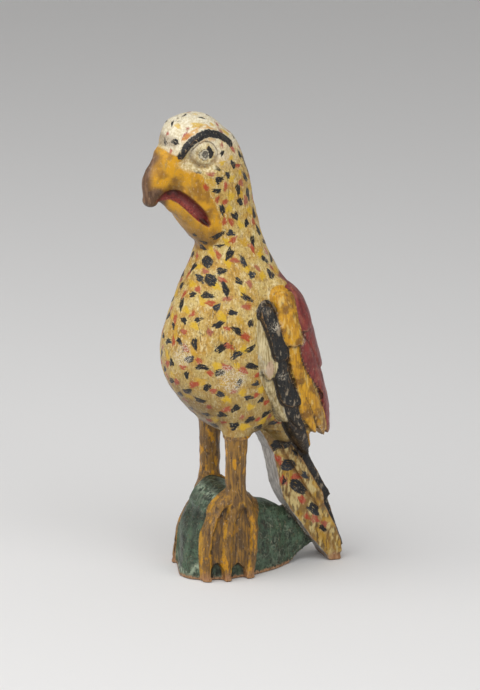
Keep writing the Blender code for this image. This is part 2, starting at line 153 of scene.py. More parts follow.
# middle lines (forward, height) of the folds carved in the front of the mound
MOUND_FOLDS = (
    ((43, 22), (41, 38), (36, 52), (29, 63), (20, 74)),
    ((49, 16), (48, 30), (44, 44), (38, 56), (31, 66)),
)
# each foot hangs down one side of the mound: middle lines of its toes and outline of its web (forward, height)
LEFT_TOES = (
    ((9, 84), (17, 77), (24, 66), (30, 50), (32.5, 30), (31.5, 0)),
    ((3, 86), (6, 66), (10.5, 42), (11.8, 20), (11.5, 0)),
    ((-8, 84), (-16, 73), (-20.5, 54), (-19, 28), (-14, 0)),
)
LEFT_WEB = (
    (6, 94), (16, 86), (25, 75), (32, 62), (36.5, 44), (37.5, 24), (36, 0), (27.5, 0), (26, 13), (21, 19), (16, 12),
    (15, 0), (7.5, 0), (6, 12), (-0.5, 17.5), (-7, 11), (-9.5, 0), (-18, 0), (-21, 14), (-23.5, 34), (-27, 55),
    (-33, 72), (-38, 82), (-28, 92), (-12, 98),
)
RIGHT_TOES = (
    ((6, 84), (14, 66), (24, 49), (31.5, 32), (33.5, 15), (31.5, 0)),
    ((1, 86), (4, 66), (8.5, 42), (9.8, 20), (9.5, 0)),
    ((-6, 84), (-11, 72), (-17, 54), (-17.5, 28), (-15, 0)),
)
RIGHT_WEB = (
    (7, 92), (17, 74), (28, 57), (38, 42), (44, 26), (44, 0), (27, 0), (25.5, 13), (20, 19.5), (14.5, 12), (13, 0),
    (5.5, 0), (4, 12), (-2, 17.5), (-8.5, 11), (-11, 0), (-18.5, 0), (-21.5, 14), (-22, 34), (-23, 55), (-27, 76),
    (-19, 83), (-10, 90),
)
WEB_THICK = 4.4
TOE_RISE = 4.0
TOE_RADIUS = 5.6
FOLD_DEPTH = 2.2
FOLD_WIDTH = 3.0
FOOT_INNER = 27.0


def eased(a, b, c, d, t):
    """The place at a share t of the way from b to c on a smooth curve through all four"""
    return 0.5 * (2 * b + (c - a) * t + (2 * a - 5 * b + 4 * c - d) * t**2 + (3 * b - a - 3 * c + d) * t**3)


def spline(rows, per=12):
    """Rows of numbers with smooth steps put in between them"""
    rows = np.asarray(rows, float)
    ends = np.vstack([2 * rows[0] - rows[1], rows, 2 * rows[-1] - rows[-2]])
    steps = np.linspace(0, 1, per, endpoint=False)[:, None]
    parts = [eased(*four, steps) for four in zip(ends, ends[1:], ends[2:], ends[3:])]
    return np.vstack(parts + [rows[-1:]])


def curved(points, per=5):
    """A closed outline rounded through its points"""
    b = np.asarray(points, float)
    four = np.roll(b, 1, 0), b, np.roll(b, -1, 0), np.roll(b, -2, 0)
    parts = [eased(*four, t) for t in np.linspace(0, 1, per, endpoint=False)]
    return np.stack(parts, axis=1).reshape(-1, 2)


def smooth_min(a, b, k):
    h = np.clip(0.5 + 0.5 * (b - a) / k, 0, 1)
    return b + (a - b) * h - k * h * (1 - h)


def ramp(v, low, high):
    t = np.clip((v - low) / (high - low), 0, 1)
    return t * t * (3 - 2 * t)


def line_distance(u, v, start, end):
    (a, b), (c, d) = start, end
    t = np.clip(((u - a) * (c - a) + (v - b) * (d - b)) / ((c - a) ** 2 + (d - b) ** 2), 0, 1)
    return np.hypot(u - a - (c - a) * t, v - b - (d - b) * t)


def path_distance(u, v, points):
    return np.min([line_distance(u, v, *ends) for ends in zip(points, points[1:])], axis=0)


def outline_distance(u, v, points):
    """Distance to a closed outline, negative inside it"""
    points = np.asarray(points, float)
    best = np.full(np.broadcast(u, v).shape, np.inf)
    inside = np.zeros(best.shape, bool)
    for start, end in zip(points, np.roll(points, -1, axis=0)):
        best = np.minimum(best, line_distance(u, v, start, end))
        (a, b), (c, d) = start, end
        if b != d:
            inside ^= ((b > v) != (d > v)) & (u < (c - a) * (v - b) / (d - b) + a)
    return np.where(inside, -best, best)


def loft(x, f, z, rows, power):
    """Sections given at heights, joined into one form"""
    table = spline(rows)
    heights = table[:, 0]
    level = np.clip(z, heights[0], heights[-1])
    front, back, half = (np.interp(level, heights, table[:, n]) for n in (1, 2, 3))
    deep = np.maximum((front - back) / 2, 1.0)
    half = np.maximum(half, 1.0)
    radius = (np.abs(x / half) ** power + np.abs((f - (front + back) / 2) / deep) ** power) ** (1 / power)
    return np.maximum((radius - 1) * np.minimum(deep, half), np.maximum(z - heights[-1], heights[0] - z))


def rod(x, f, z, start, end, first, last, stretch):
    df, dz = end[0] - start[0], end[1] - start[1]
    t = np.clip(((f - start[0]) * df + (z - start[1]) * dz) / (df * df + dz * dz), 0, 1)
    away = np.sqrt((x / stretch) ** 2 + (f - start[0] - df * t) ** 2 + (z - start[1] - dz * t) ** 2)
    return away - (first + (last - first) * t)


class Block:
    """The block of wood as a grid of distances to the surface, negative inside the wood"""

    def __init__(self, low, high, step):
        self.step = step
        self.axes = [np.arange(a, b + step, step) for a, b in zip(low, high)]
        self.values = np.full([len(axis) for axis in self.axes], FAR)
        self.layers = {}

    def window(self, low, high):
        """The part of the grid between two corners (x, forward, z), and its coordinates"""
        lows = (low[0], -high[1], low[2])
        highs = (high[0], -low[1], high[2])
        cut = tuple(
            slice(np.searchsorted(axis, a), np.searchsorted(axis, b, "right"))
            for axis, a, b in zip(self.axes, lows, highs)
        )
        x, y, z = np.meshgrid(*(axis[c] for axis, c in zip(self.axes, cut)), indexing="ij", sparse=True)
        return cut, x, -y, z

    def window_around(self, rows):
        """The part of the grid that holds a form given as rows of height, front, back and half width"""
        low, high = np.min(rows, axis=0), np.max(rows, axis=0)
        half = high[3] + SPARE
        return self.window((-half, low[2] - SPARE, low[0] - SPARE), (half, high[1] + SPARE, high[0] + SPARE))

    def even(self, values):
        """The same surface with distances that grow evenly away from it"""
        slopes = np.gradient(values, self.step)
        return values / np.maximum(np.sqrt(sum(s * s for s in slopes)), 0.3)

    def join(self, cut, values, blend=0.0, layer=""):
        self.layers.setdefault(layer, []).append((cut, values))
        old = self.values[cut]
        self.values[cut] = smooth_min(old, values, blend) if blend else np.minimum(old, values)

    def sampled(self, cut, values, points):
        """Distances at points, far outside the window that they are kept for"""
        origin = np.array([axis[c.start or 0] for axis, c in zip(self.axes, cut)])
        spot = (points - origin) / self.step
        low = np.floor(spot).astype(int)
        top = np.array(values.shape) - 2
        within = np.all((low >= 0) & (low <= top), axis=1)
        low = np.clip(low, 0, top)
        share = np.clip(spot - low, 0, 1)
        total = np.zeros(len(points))
        for corner in ((i, j, k) for i in (0, 1) for j in (0, 1) for k in (0, 1)):
            weight = np.prod(np.where(corner, share, 1 - share), axis=1)
            total += weight * values[tuple((low + corner).T)]
        return np.where(within, total, FAR)

    def away(self, layer, points):
        """Distance of points from one layer of the carving"""
        return np.min([self.sampled(cut, values, points) for cut, values in self.layers[layer]], axis=0)

    def at(self, points):
        return self.sampled((slice(0),) * 3, self.values, points)


def turned(x, f, z):
    """The head's own directions: it looks a little to its left"""
    angle = HEAD_TURN * ramp(z, TURN_FROM, TURN_TO)
    return x * np.cos(angle) - f * np.sin(angle), x * np.sin(angle) + f * np.cos(angle)


def add_body(block):
    cut, x, f, z = block.window_around(BODY)
    head_x, head_f = turned(x, f, z)
    block.join(cut, block.even(loft(head_x, head_f, z, BODY, BODY_POWER)), 0.0, "bird")


def add_beak(block):
    cut, x, f, z = block.window(*BEAK_ROOM)
    head_x, head_f = turned(x, f, z)
    rods = [rod(head_x, head_f, z, *numbers) for numbers in BEAK]
    beak = smooth_min(smooth_min(rods[0], rods[1], 5.0), rods[2], 5.0)
    block.join(cut, block.even(smooth_min(beak, rod(head_x, head_f, z, *JAW), 2.0)), 6.0, "bird")


def add_rump(block):
    cut, x, f, z = block.window(*RUMP_ROOM)
    block.join(cut, block.even(rod(x, f, z, *RUMP)), 8.0, "bird")


def add_wings(block):
    cut, x, f, z = block.window_around(WINGS)
    mass = block.even(loft(x, f, z, WINGS, WINGS_POWER))
    edge = outline_distance(f, z, curved(WING_FILL))
    relief = np.zeros(edge.shape)
    for points, low, high in FEATHERS:
        inside = outline_distance(f, z, curved(points))
        edge = np.minimum(edge, inside)
        top = max(p[1] for p in points)
        bottom = min(p[1] for p in points)
        share = np.clip((top - z) / (top - bottom), 0, 1)
        rise = (low + (high - low) * share) * ramp(-inside, -0.4, 1.4) + 0.9 * ramp(-inside, 0.5, 6.0) - 0.5
        relief = np.where(inside < 0.4, np.maximum(relief, rise), relief)
    wing = np.maximum(mass, edge)
    relief = relief * ramp(np.abs(x), 8, 18)
    block.values[cut] = smooth_min(block.values[cut], wing, 6.0) - relief
    block.layers["wing"] = [(cut, wing - relief)]


def add_leg(block, side):
    cut, x, f, z = block.window((side * LEG_APART - 24, -24, 60), (side * LEG_APART + 24, 24, 186))
    radius = LEG_RADIUS + 1.2 * ramp(z, 122, 146) - 8.0 * ramp(z, 150, 168)
    radius = radius + 1.6 * ramp(-z, -98, -76) - 7.0 * ramp(-z, -82, -64)
    leg = np.maximum(np.hypot(x - side * LEG_APART, f + 0.5) - radius, np.abs(z - 114) - 50)
    block.join(cut, block.even(leg), 9.0, "leg")


def add_tail(block):
    cut, x, f, z = block.window(*TAIL_ROOM)
    for n, (points, half) in enumerate(TAIL):
        side = outline_distance(f, z, points) + 2.0
        across = np.abs(x) - half + 2.0
        outside = np.hypot(np.maximum(side, 0), np.maximum(across, 0))
        layer = "tail" if n < 3 else "tail_back"
        block.join(cut, outside + np.minimum(np.maximum(side, across), 0) - 2.0, 1.2, layer)


def add_mound_and_feet(block):
    cut, x, f, z = block.window(*MOUND_ROOM)
    table = spline(MOUND)[::-1]
    crest, half, floor = (np.interp(f, table[:, 0], table[:, n]) for n in (1, 2, 3))
    ends = np.maximum(f - MOUND[0][0], MOUND[-1][0] - f)
    power = 3.2 + 3.0 * ramp(f, -30, 5) - 3.0 * ramp(f, 12, 40)
    bulge = (np.abs(x / half) ** power + np.clip(z / crest, 0, 4) ** 2.4) ** (1 / 2.8) - 1
    corner = (f - 47.5 - 0.28 * x) / 1.04
    mound = -smooth_min(-np.maximum(bulge * np.minimum(half, crest), ends), -corner, 5.0)
    mound = block.even(np.maximum(mound, floor - z))
    block.join(cut, mound, 2.0, "mound")
    for side, toes, web in ((1, LEFT_TOES, LEFT_WEB), (-1, RIGHT_TOES, RIGHT_WEB)):
        thick = np.full(np.broadcast(f, z).shape, WEB_THICK)
        for toe in toes:
            near = np.clip(path_distance(f, z, toe) / TOE_RADIUS, 0, 1)
            thick = np.maximum(thick, WEB_THICK + TOE_RISE * np.sqrt(1 - near**2))
        foot = np.maximum(mound - thick, outline_distance(f, z, web))
        inner = FOOT_INNER - 14.0 * ramp(-f, 8, 26)
        block.join(cut, block.even(np.maximum(foot, inner - side * x)), 4.0, "foot")


def carve_face(block):
    cut, x, f, z = block.window(*MOUTH_ROOM)
    head_x, head_f = turned(x, f, z)
    inside = outline_distance(head_f, z, MOUTH_TOP + MOUTH_LOW)
    deep = MOUTH_DEPTH - 3.4 * ramp(path_distance(head_f, z, MOUTH_TOP), 4.0, 10.0)
    deep = deep * (1 - 0.8 * ramp(head_f, 48, 64))
    block.values[cut] += deep * ramp(-inside, -0.6, 2.2) * ramp(np.abs(head_x), 2.0, 7.0)

    cut, x, f, z = block.window(*EYE_ROOM)
    head_x, head_f = turned(x, f, z)
    from_eye = np.hypot(head_f - EYE[0], z - EYE[1])
    hollow = np.hypot((head_f - EYE[0] - 3) / 22, (z - EYE[1] + 6) / 15)
    socket = 4.5 * ramp(-hollow, -1.05, -0.35)
    ball = 4.4 * np.clip(1 - (from_eye / EYE_RADIUS) ** 2, 0, 1) ** 0.8
    ridge = 3.2 * np.exp(-((path_distance(head_f, z, BROW) / 5.0) ** 2))
    block.values[cut] += (socket - ball - ridge) * ramp(np.abs(head_x), 12, 20)


def carve_mound(block):
    cut, x, f, z = block.window(*FOLD_ROOM)
    near = np.min([path_distance(f, z, fold) for fold in MOUND_FOLDS], axis=0)
    block.values[cut] += FOLD_DEPTH * np.exp(-((near / FOLD_WIDTH) ** 2)) * (block.values[cut] > -6) * ramp(f, 8, 18)


def surface(block):
    """Points and quads of the surface where the distance is nothing"""
    v = np.pad(block.values, 1, constant_values=FAR)
    inside = v < 0
    corners = [(i, j, k) for i in (0, 1) for j in (0, 1) for k in (0, 1)]
    shape = [n - 1 for n in v.shape]
    seen = [inside[i : i + shape[0], j : j + shape[1], k : k + shape[2]] for i, j, k in corners]
    cells = np.logical_or.reduce(seen) & ~np.logical_and.reduce(seen)
    where = np.argwhere(cells)
    index = np.full(cells.shape, -1, np.int64)
    index[cells] = np.arange(len(where))
    total = np.zeros((len(where), 3))
    count = np.zeros(len(where))
    for corner in corners:
        for n in range(3):
            if corner[n]:
                continue
            other = list(corner)
            other[n] = 1
            va = v[tuple((where + corner).T)]
            vb = v[tuple((where + other).T)]
            crossed = (va < 0) != (vb < 0)
            point = np.tile(np.array(corner, float), (len(where), 1))
            point[:, n] += np.where(crossed, va / np.where(crossed, va - vb, 1), 0)
            total += point * crossed[:, None]
            count += crossed
    origin = np.array([axis[0] - block.step for axis in block.axes])
    points = origin + (where + total / count[:, None]) * block.step
    quads = []
    for n in range(3):
        a, b = (inside.take(range(start, inside.shape[n] - 1 + start), axis=n) for start in (0, 1))
        m, o = (q for q in range(3) if q != n)
        for edge, backward in ((a & ~b, n == 1), (~a & b, n != 1)):
            at = np.argwhere(edge)
            ring = []
            for dm, do in ((1, 1), (0, 1), (0, 0), (1, 0)):
                cell = at.copy()
                cell[:, m] -= dm
                cell[:, o] -= do
                ring.append(index[tuple(cell.T)])
            ring = np.stack(ring, axis=1)
            quads.append(ring[:, ::-1] if backward else ring)
    return points, np.vstack(quads)


# gouge marks on the bird and on all below it: how far apart, how wide and how deep
BIRD_GOUGES = 11.0, 11.0, 0.35
BASE_GOUGES = 8.0, 8.5, 0.8
# length and height of the slow waves that hand carving leaves
WAVES = (34, 0.22), (26, 0.18), (21, 0.14), (17, 0.1), (13, 0.07), (11, 0.06)
SEAM_DEPTH = 3.0
# how far the skin is drawn in, so that the waves stay inside the solid's box
SHRINK = 0.55

# in the head's own directions (forward, height): the ochre face, the brown of the beak and a grey smudge over it
FACE = (
    (78, 444), (68, 441), (59, 435), (50.6, 425), (37, 416), (27.5, 394), (14, 369), (12, 353), (21, 337), (30, 331),
    (60, 340), (100, 372), (100, 452),
)
BEAK_TIP = (79, 388)
BEAK_TIP_REACH = 16.0
BEAK_RIDGE = ((84, 396), (86, 405), (86, 414), (82, 424), (76, 433))
BEAK_RIDGE_HALF = 4.0
SMUDGE = (63, 449)
SMUDGE_REACH = 5.5
# rear end of the painted brow, and the half width of the brow at some places forward
BROW_REAR = ((18.5, 454.8), (10.0, 449.8), (3.5, 444.0))
BROW_HALF = ((3, 20, 46, 58), (3.4, 3.5, 3.7, 3.2))
# the black mark in the eyeball
EYE_MARK = ((31.2, 443.0), (28.8, 439.8), (28.6, 434.6))
EYE_MARK_HALF = 2.1
# heights above which the marks of the head are looked for, and how far to the side those of the eye are
FACE_END, BEAK_END, MOUTH_END, EYE_END = 325.0, 340.0, 350.0, 400.0
HEAD_SIDE = 13.0
# heights where the belly, legs, mound, feet and tail end
BELLY_END, LIMB_TOP, MOUND_TOP, FOOT_TOP, TAIL_TOP, RIDGE_TOP = 156.0, 150.0, 98.0, 100.0, 165.0, 160.0
# where the wings and the back between them are: how far to the side, how far forward and between which heights
WING_SIDE, WING_FRONT = 11.0, -12.0
WING_END, WING_TOP, BACK_END = 108.0, 312.0, 125.0
# the black of the tail starts this far forward, and its grey faces this way (forward, down) within this half width
TAIL_BLACK_FROM = -60.0
TAIL_UNDER_WAY = (0.896, 0.445)
TAIL_UNDER_HALF = 18.8
# outline of the red back between the wings
BACK = (
    (-46, 308), (-56, 300), (-64, 286), (-70, 262), (-76, 232), (-84, 196), (-90, 166), (-96, 136), (-130, 130),
    (-130, 308),
)
# middle (left, forward, height) and reach of places where the paint is worn pale
WORN = (
    (56.3, 9.7, 211.6, 15), (30, 52, 236, 13), (22, 58, 186, 10), (-50, 14, 240, 14), (-30, 50, 200, 11),
    (16, 60, 447, 7), (30, -45, 330, 9), (58, -29, 281, 8), (59, -37, 262, 6), (50, -63, 292, 7), (56, -66, 246, 5),
    (58, -44, 212, 5), (46, -86, 150, 7),
)
# middle (forward, height) and half sizes of the bare place on the first feather
BARED = (-30.0, 219.0, 4.4, 9.0)
# strokes listed one by one: left, forward, height, half length, half width, slope in degrees
BLACK_STROKES = (
    (22.8, 23.9, 324.8, 6.6, 5.4, -35), (32.1, 23.1, 309.1, 6.8, 5.4, -25), (41.6, 11.3, 302.7, 8.0, 3.0, -65),
    (11.1, 25.5, 337.9, 5.0, 3.0, -10), (31.5, 14.3, 353.8, 7.0, 2.6, 30), (29.2, 13.1, 342.1, 5.0, 1.8, 12),
    (18.1, 25.8, 343.6, 5.0, 2.0, -10), (12.0, 34.0, 352.0, 3.0, 2.2, 0), (24.7, 56.1, 449.4, 3.6, 3.0, -35),
    (37.2, 16.3, 410.8, 4.6, 3.4, 0), (36.9, 17.2, 399.8, 4.6, 2.6, 0), (32.0, -1.3, 424.4, 4.6, 2.8, -60),
    (35.7, 6.3, 413.7, 4.4, 2.2, -60), (31.7, -6.7, 398.7, 6.4, 2.6, -75), (23.2, -20.2, 390.7, 7.0, 3.2, -75),
    (16.7, -18.3, 423.6, 9.0, 2.2, -60),
)
RED_STROKES = (
    (28.9, 46.6, 455.1, 4.2, 3.2, 60), (36.3, 28.9, 403.4, 4.0, 2.6, -60), (37.5, 17.0, 391.0, 3.4, 2.0, 80),
    (29.0, -3.5, 439.0, 4.4, 2.6, -65), (25.0, 9.0, 458.5, 3.6, 2.2, -50), (38.5, 8.5, 366.5, 4.0, 2.4, 70),
)
YELLOW_STROKES = (
    (34.6, 2.7, 393.0, 4.6, 4.0, 80), (21.3, 2.1, 456.2, 6.0, 3.0, -60), (31.0, 0.5, 430.0, 3.4, 3.0, 0),
    (23.0, 34.0, 463.0, 6.0, 3.0, 0), (33.5, 3.0, 411.0, 4.0, 3.4, 0),
)
# strokes on both sides of the tail: forward, height, half length, half width, slope
TAIL_BLACK = (
    (-54, 128, 8.5, 5.4, -20), (-64, 106, 6.8, 6.4, -20), (-74, 83, 10.5, 5.4, -40), (-91, 57, 7.6, 4.4, -45),
    (-80, 94, 5.0, 2.6, -60), (-70, 120, 4.0, 2.6, -50), (-101, 36, 4.4, 2.4, -50), (-58, 90, 3.6, 2.4, -70),
)
TAIL_RED = (
    (-53, 112, 6.0, 2.8, -55), (-60, 90, 5.4, 3.4, -60), (-72, 93, 4.4, 3.4, 20), (-79, 68, 5.0, 3.2, -60),
    (-93, 46, 4.6, 3.6, -60), (-104, 40, 4.0, 2.4, -60), (-84, 50, 4.0, 2.2, -60),
)
# how far to the side the strokes of the tail are put down
TAIL_SIDE = 21
# colour, listed strokes, least distance to each other and to others, half lengths and half widths by chance
STROKES = (
    ("black", BLACK_STROKES, TAIL_BLACK, 15.0, 12.0, (3.8, 7.0), (2.4, 3.5)),
    ("red", RED_STROKES, TAIL_RED, 16.5, 7.0, (3.2, 5.6), (2.0, 3.2)),
    ("yellow", YELLOW_STROKES, (), 18.0, 7.0, (3.6, 6.0), (2.8, 4.0)),
)
# the slopes of strokes above a height: their mean and spread in degrees
STROKE_SLOPES = ((330, -55, 35), (205, -30, 40), (0, 12, 14))
# fewer of them from this height up
CROWN_FROM = 425.0
CROWN_SHARE = 0.4
# two shades, how well each covers and how soft its edge is
STROKE_COLOURS = {
    "yellow": ((222, 178, 0), (206, 158, 30), 0.8, 1.2),
    "red": ((172, 46, 24), (166, 80, 66), 0.85, 0.8),
    "black": ((10, 10, 11), (38, 42, 48), 1.0, 0.4),
}


def chosen(rng, points, allowed, apart, taken, clear):
    """Some of the allowed points, by chance, at least apart from each other and clear of those taken"""
    picked = []
    kept = np.zeros((0, 3))
    for i in rng.permutation(np.flatnonzero(allowed))[:7000]:
        p = points[i]
        if len(kept) and np.min(np.sum((kept - p) ** 2, axis=1)) < apart**2:
            continue
        if len(taken) and np.min(np.sum((taken - p) ** 2, axis=1)) < clear**2:
            continue
        picked.append(i)
        kept = np.vstack([kept, p])
    return picked


def stroke(point, normal, slope, long, wide, seed):
    """A stroke of the brush on the skin, rising rearwards by slope degrees"""
    level = np.cross(normal, (0, 0, 1.0))
    level *= 1.0 if normal[0] < 0 else -1.0
    level /= max(np.linalg.norm(level), 1e-6)
    steep = np.cross(level, normal)
    steep *= -1.0 if steep[2] < 0 else 1.0
    turn = np.radians(slope)
    along = level * np.cos(turn) + steep * np.sin(turn)
    return point, along, np.cross(normal, along), long, wide, seed


def stroke_field(tree, points, strokes):
    """For each point of the skin, how far outside a stroke it lies, and where along and across that stroke"""
    outside = np.full(len(points), 4.0)
    where = np.zeros((len(points), 3))
    for centre, along, across, long, wide, seed in strokes:
        ids = np.array([found[1] for found in tree.find_range(Vector(centre), 1.3 * long + 4.0)], int)
        if not len(ids):
            continue
        away = points[ids] - centre
        w = away @ across
        u = away @ along + 0.35 * np.sin(7.0 * seed) * w
        turn = np.arctan2(w / wide, u / long)
        uneven = 0.0 if wide > 5 else 1.0
        bulge = 1 + uneven * (0.16 * np.sin(3 * turn + 5 * seed) + 0.12 * np.sin(5 * turn + 11 * seed))
        size = (np.abs(u / long) ** 2.7 + np.abs(w / wide) ** 2.7) ** (1 / 2.7) / bulge
        here = (size - 1) * wide
        nearer = here < outside[ids]
        outside[ids[nearer]] = here[nearer]
        where[ids[nearer]] = np.stack([u, w, np.full(len(u), seed)], axis=1)[nearer]
    return outside, where


def feather_paint(f, z):
    """Share of the four feather colours, the seams and the rims of feathers at places on the side of the wings"""
    step = 0.5
    axis_f = np.arange(-116, -8, step)
    axis_z = np.arange(108, 306, step)
    gf, gz = np.meshgrid(axis_f, axis_z, indexing="ij")
    best = np.full(gf.shape, -1.0)
    near = np.full(gf.shape, 2.5)
    owner = np.full(gf.shape, -1)
    within = np.zeros(gf.shape)
    for n, (points, low, high) in enumerate(FEATHERS):
        inside = outline_distance(gf, gz, curved(points))
        top = max(p[1] for p in points)
        bottom = min(p[1] for p in points)
        rise = low + (high - low) * np.clip((top - gz) / (top - bottom), 0, 1)
        over = (inside < 0) & (rise > best)
        beside = (best < 0) & (inside >= 0) & (inside < near)
        owner = np.where(over | beside, n, owner)
        within = np.where(over, -inside, within)
        best = np.where(over, rise, best)
        near = np.where(beside, inside, near)
    group = np.where(owner < 0, -1, np.where(owner < 2, 0, 1 + (owner - 2) // 4))
    seam = (owner != np.roll(owner, 1, 0)) | (owner != np.roll(owner, 1, 1))
    shares = []
    u = np.clip((f - axis_f[0]) / step, 0, len(axis_f) - 1.001)
    v = np.clip((z - axis_z[0]) / step, 0, len(axis_z) - 1.001)
    i, j = u.astype(int), v.astype(int)
    rim = (best > 0) & (within < 1.8)
    for flags in (group == 0, group == 1, group == 2, group == 3, seam, rim):
        share = flags.astype(float)
        for _ in range(3):
            share = (share + np.roll(share, 1, 0) + np.roll(share, -1, 0)) / 3
            share = (share + np.roll(share, 1, 1) + np.roll(share, -1, 1)) / 3
        a, b = u - i, v - j
        here = (share[i, j] * (1 - a) + share[i + 1, j] * a) * (1 - b)
        shares.append(here + (share[i, j + 1] * (1 - a) + share[i + 1, j + 1] * a) * b)
    return shares


def carve_details(block):
    """The rings cut around the eye and in it"""
    cut, x, f, z = block.window(*EYE_ROOM)
    head_x, head_f = turned(x, f, z)
    side = ramp(np.abs(head_x), 14, 22)
    from_eye = np.hypot(head_f - EYE[0], z - EYE[1])
    ring = 0.5 * np.exp(-(((from_eye - 13.2) / 1.3) ** 2)) + 0.6 * np.exp(-(((from_eye - 6.6) / 1.0) ** 2))
    ring = ring * ramp(z, EYE[1] - 8, EYE[1] + 6)
    lid = 0.8 * np.exp(-(((from_eye - 16.5) / 1.2) ** 2)) * ramp(z, EYE[1] - 2, EYE[1] + 8)
    block.values[cut] += (ring + lid + 1.6 * np.exp(-((from_eye / 1.9) ** 2))) * side


def gouged(points, rng, apart, reach, depth):
    """Shallow scoops of the gouge: how deep each point lies in them"""
    seeds = chosen(rng, points, np.ones(len(points), bool), apart, np.zeros((0, 3)), 0)
    tree = kdtree.KDTree(len(seeds))
    for n, i in enumerate(seeds):
        tree.insert(Vector(points[i]), n)
    tree.balance()
    return depth * (1 - np.minimum([tree.find(Vector(p))[2] / reach for p in points], 1.0) ** 2)


def slope_at(block, points):
    """Outward directions of the surface at points"""
    reach = 0.8
    slopes = []
    for n in range(3):
        step = np.zeros(3)
        step[n] = reach
        slopes.append(block.at(points + step) - block.at(points - step))
    slopes = np.stack(slopes, axis=1)
    return slopes / np.maximum(np.linalg.norm(slopes, axis=1, keepdims=True), 1e-6)


def bend_of(mesh, points):
    """How sharply the skin bends outwards at each point"""
    ends = np.zeros(len(mesh.edges) * 2, int)
    mesh.edges.foreach_get("vertices", ends)
    a, b = ends.reshape(-1, 2).T
    normals = np.zeros(len(points) * 3)
    mesh.vertex_normals.foreach_get("vector", normals)
    normals = normals.reshape(-1, 3)
    away = points[b] - points[a]
    far = np.maximum(np.sum(away**2, axis=1), 0.05)
    count = np.bincount(a, minlength=len(points)) + np.bincount(b, minlength=len(points))
    bend = np.bincount(a, -np.sum(away * normals[a], axis=1) / far, len(points))
    bend += np.bincount(b, np.sum(away * normals[b], axis=1) / far, len(points))
    bend /= np.maximum(count, 1)
    for _ in range(2):
        around = np.bincount(a, bend[b], len(points)) + np.bincount(b, bend[a], len(points))
        bend = 0.4 * bend + 0.6 * around / np.maximum(count, 1)
    return bend


def carved_block():
    block = Block(BLOCK_LOW, BLOCK_HIGH, GRID)
    add_body(block)
    add_beak(block)
    add_rump(block)
    add_wings(block)
    for side in (1, -1):
        add_leg(block, side)
    add_tail(block)
    add_mound_and_feet(block)
    carve_mound(block)
    carve_face(block)
    carve_details(block)
    block.values = np.maximum(block.values, -block.axes[2])
    return block


def skin_mesh(block):
    """The surface of the block with its shallow tool marks, as a mesh of few enough faces"""
    points, quads = surface(block)
    normals = slope_at(block, points)
    rng = np.random.default_rng(11)
    base = points[:, 2] < TAIL_TOP
    marks = np.zeros(len(points))
    marks[~base] = gouged(points[~base], rng, *BIRD_GOUGES)
    marks[base] = gouged(points[base], rng, *BASE_GOUGES)
    wave = np.zeros(len(points))
    for length, height in WAVES:
        direction = rng.normal(size=3)
        direction /= np.linalg.norm(direction)
        wave += height * np.sin(points @ direction * 2 * np.pi / length + rng.uniform(0, 6.3))
    seam = feather_paint(-points[:, 1], points[:, 2])[4] * ramp(np.abs(points[:, 0]), 14, 20)
    marks += SEAM_DEPTH * seam * ((points[:, 2] > 110) & (points[:, 2] < 304))
    above = ramp(points[:, 2], 1.0, 6.0)
    points = points + normals * ((wave - marks - SHRINK) * above)[:, None]
    mesh = bpy.data.meshes.new("rough_skin")
    mesh.from_pydata((points * UNIT).tolist(), [], quads.tolist())
    mesh.update()
    rough = bpy.data.objects.new("rough_skin", mesh)
    bpy.context.scene.collection.objects.link(rough)
    eased = rough.modifiers.new("eased", "SMOOTH")
    eased.factor = 0.35
    eased.iterations = 2
    if 2 * len(quads) > TRIANGLES:
        fewer = rough.modifiers.new("fewer_faces", "DECIMATE")
        fewer.ratio = TRIANGLES / (2 * len(quads))
    bpy.context.view_layer.update()
    depsgraph = bpy.context.evaluated_depsgraph_get()
    skin = bpy.data.meshes.new_from_object(rough.evaluated_get(depsgraph))
    bpy.data.objects.remove(rough)
    skin.name = "parrot_skin"
    return skin


def keep(mesh, name, values, reach=8.0):
    """Writes a number on each point of the skin, cut to the reach that the paint needs"""
    layer = mesh.attributes.new(name, "FLOAT", "POINT")
    layer.data.foreach_set("value", np.clip(values, -reach, reach).astype(np.float32))


def mark_head(mesh, head_x, head_f, z):
    """Marks the beak, mouth, eye and brow, and returns which points of the skin are clear of them"""
    face = np.where(z > FACE_END, outline_distance(head_f, z, FACE), FAR)
    keep(mesh, "face", face)
    beak_tip = np.hypot(head_f - BEAK_TIP[0], z - BEAK_TIP[1]) - BEAK_TIP_REACH
    beak_tip = np.minimum(beak_tip, path_distance(head_f, z, BEAK_RIDGE) - BEAK_RIDGE_HALF)
    keep(mesh, "beak_tip", np.where(z > BEAK_END, beak_tip, FAR))
    mouth = outline_distance(head_f, z, MOUTH_TOP + MOUTH_LOW)
    keep(mesh, "mouth", np.where(z > MOUTH_END, mouth, FAR))
    keep(mesh, "mouth_roof", np.where(z > MOUTH_END, path_distance(head_f, z, MOUTH_TOP), FAR), 16.0)
    beside = (np.abs(head_x) > HEAD_SIDE) & (z > EYE_END)
    brow = path_distance(head_f, z, BROW[:5] + BROW_REAR) - np.interp(head_f, *BROW_HALF)
    brow = np.where(beside, brow, FAR)
    keep(mesh, "brow", brow)
    eye = np.where(beside, np.hypot(head_f - EYE[0], z - EYE[1]), FAR)
    keep(mesh, "eye", eye, 40.0)
    # the pouch under the eye, which takes a painted highlight
    pouch = np.hypot((head_f - EYE[0] - 4) / 17, (z - EYE[1] + 11) / 7) - 1
    keep(mesh, "pouch", np.where(beside, pouch, FAR))
    keep(mesh, "eye_mark", np.where(beside, path_distance(head_f, z, EYE_MARK) - EYE_MARK_HALF, FAR))
    keep(mesh, "smudge", np.hypot(head_f - SMUDGE[0], z - SMUDGE[1]) - SMUDGE_REACH)
    return (face > 2.0) & (eye > 17) & (brow > 4)


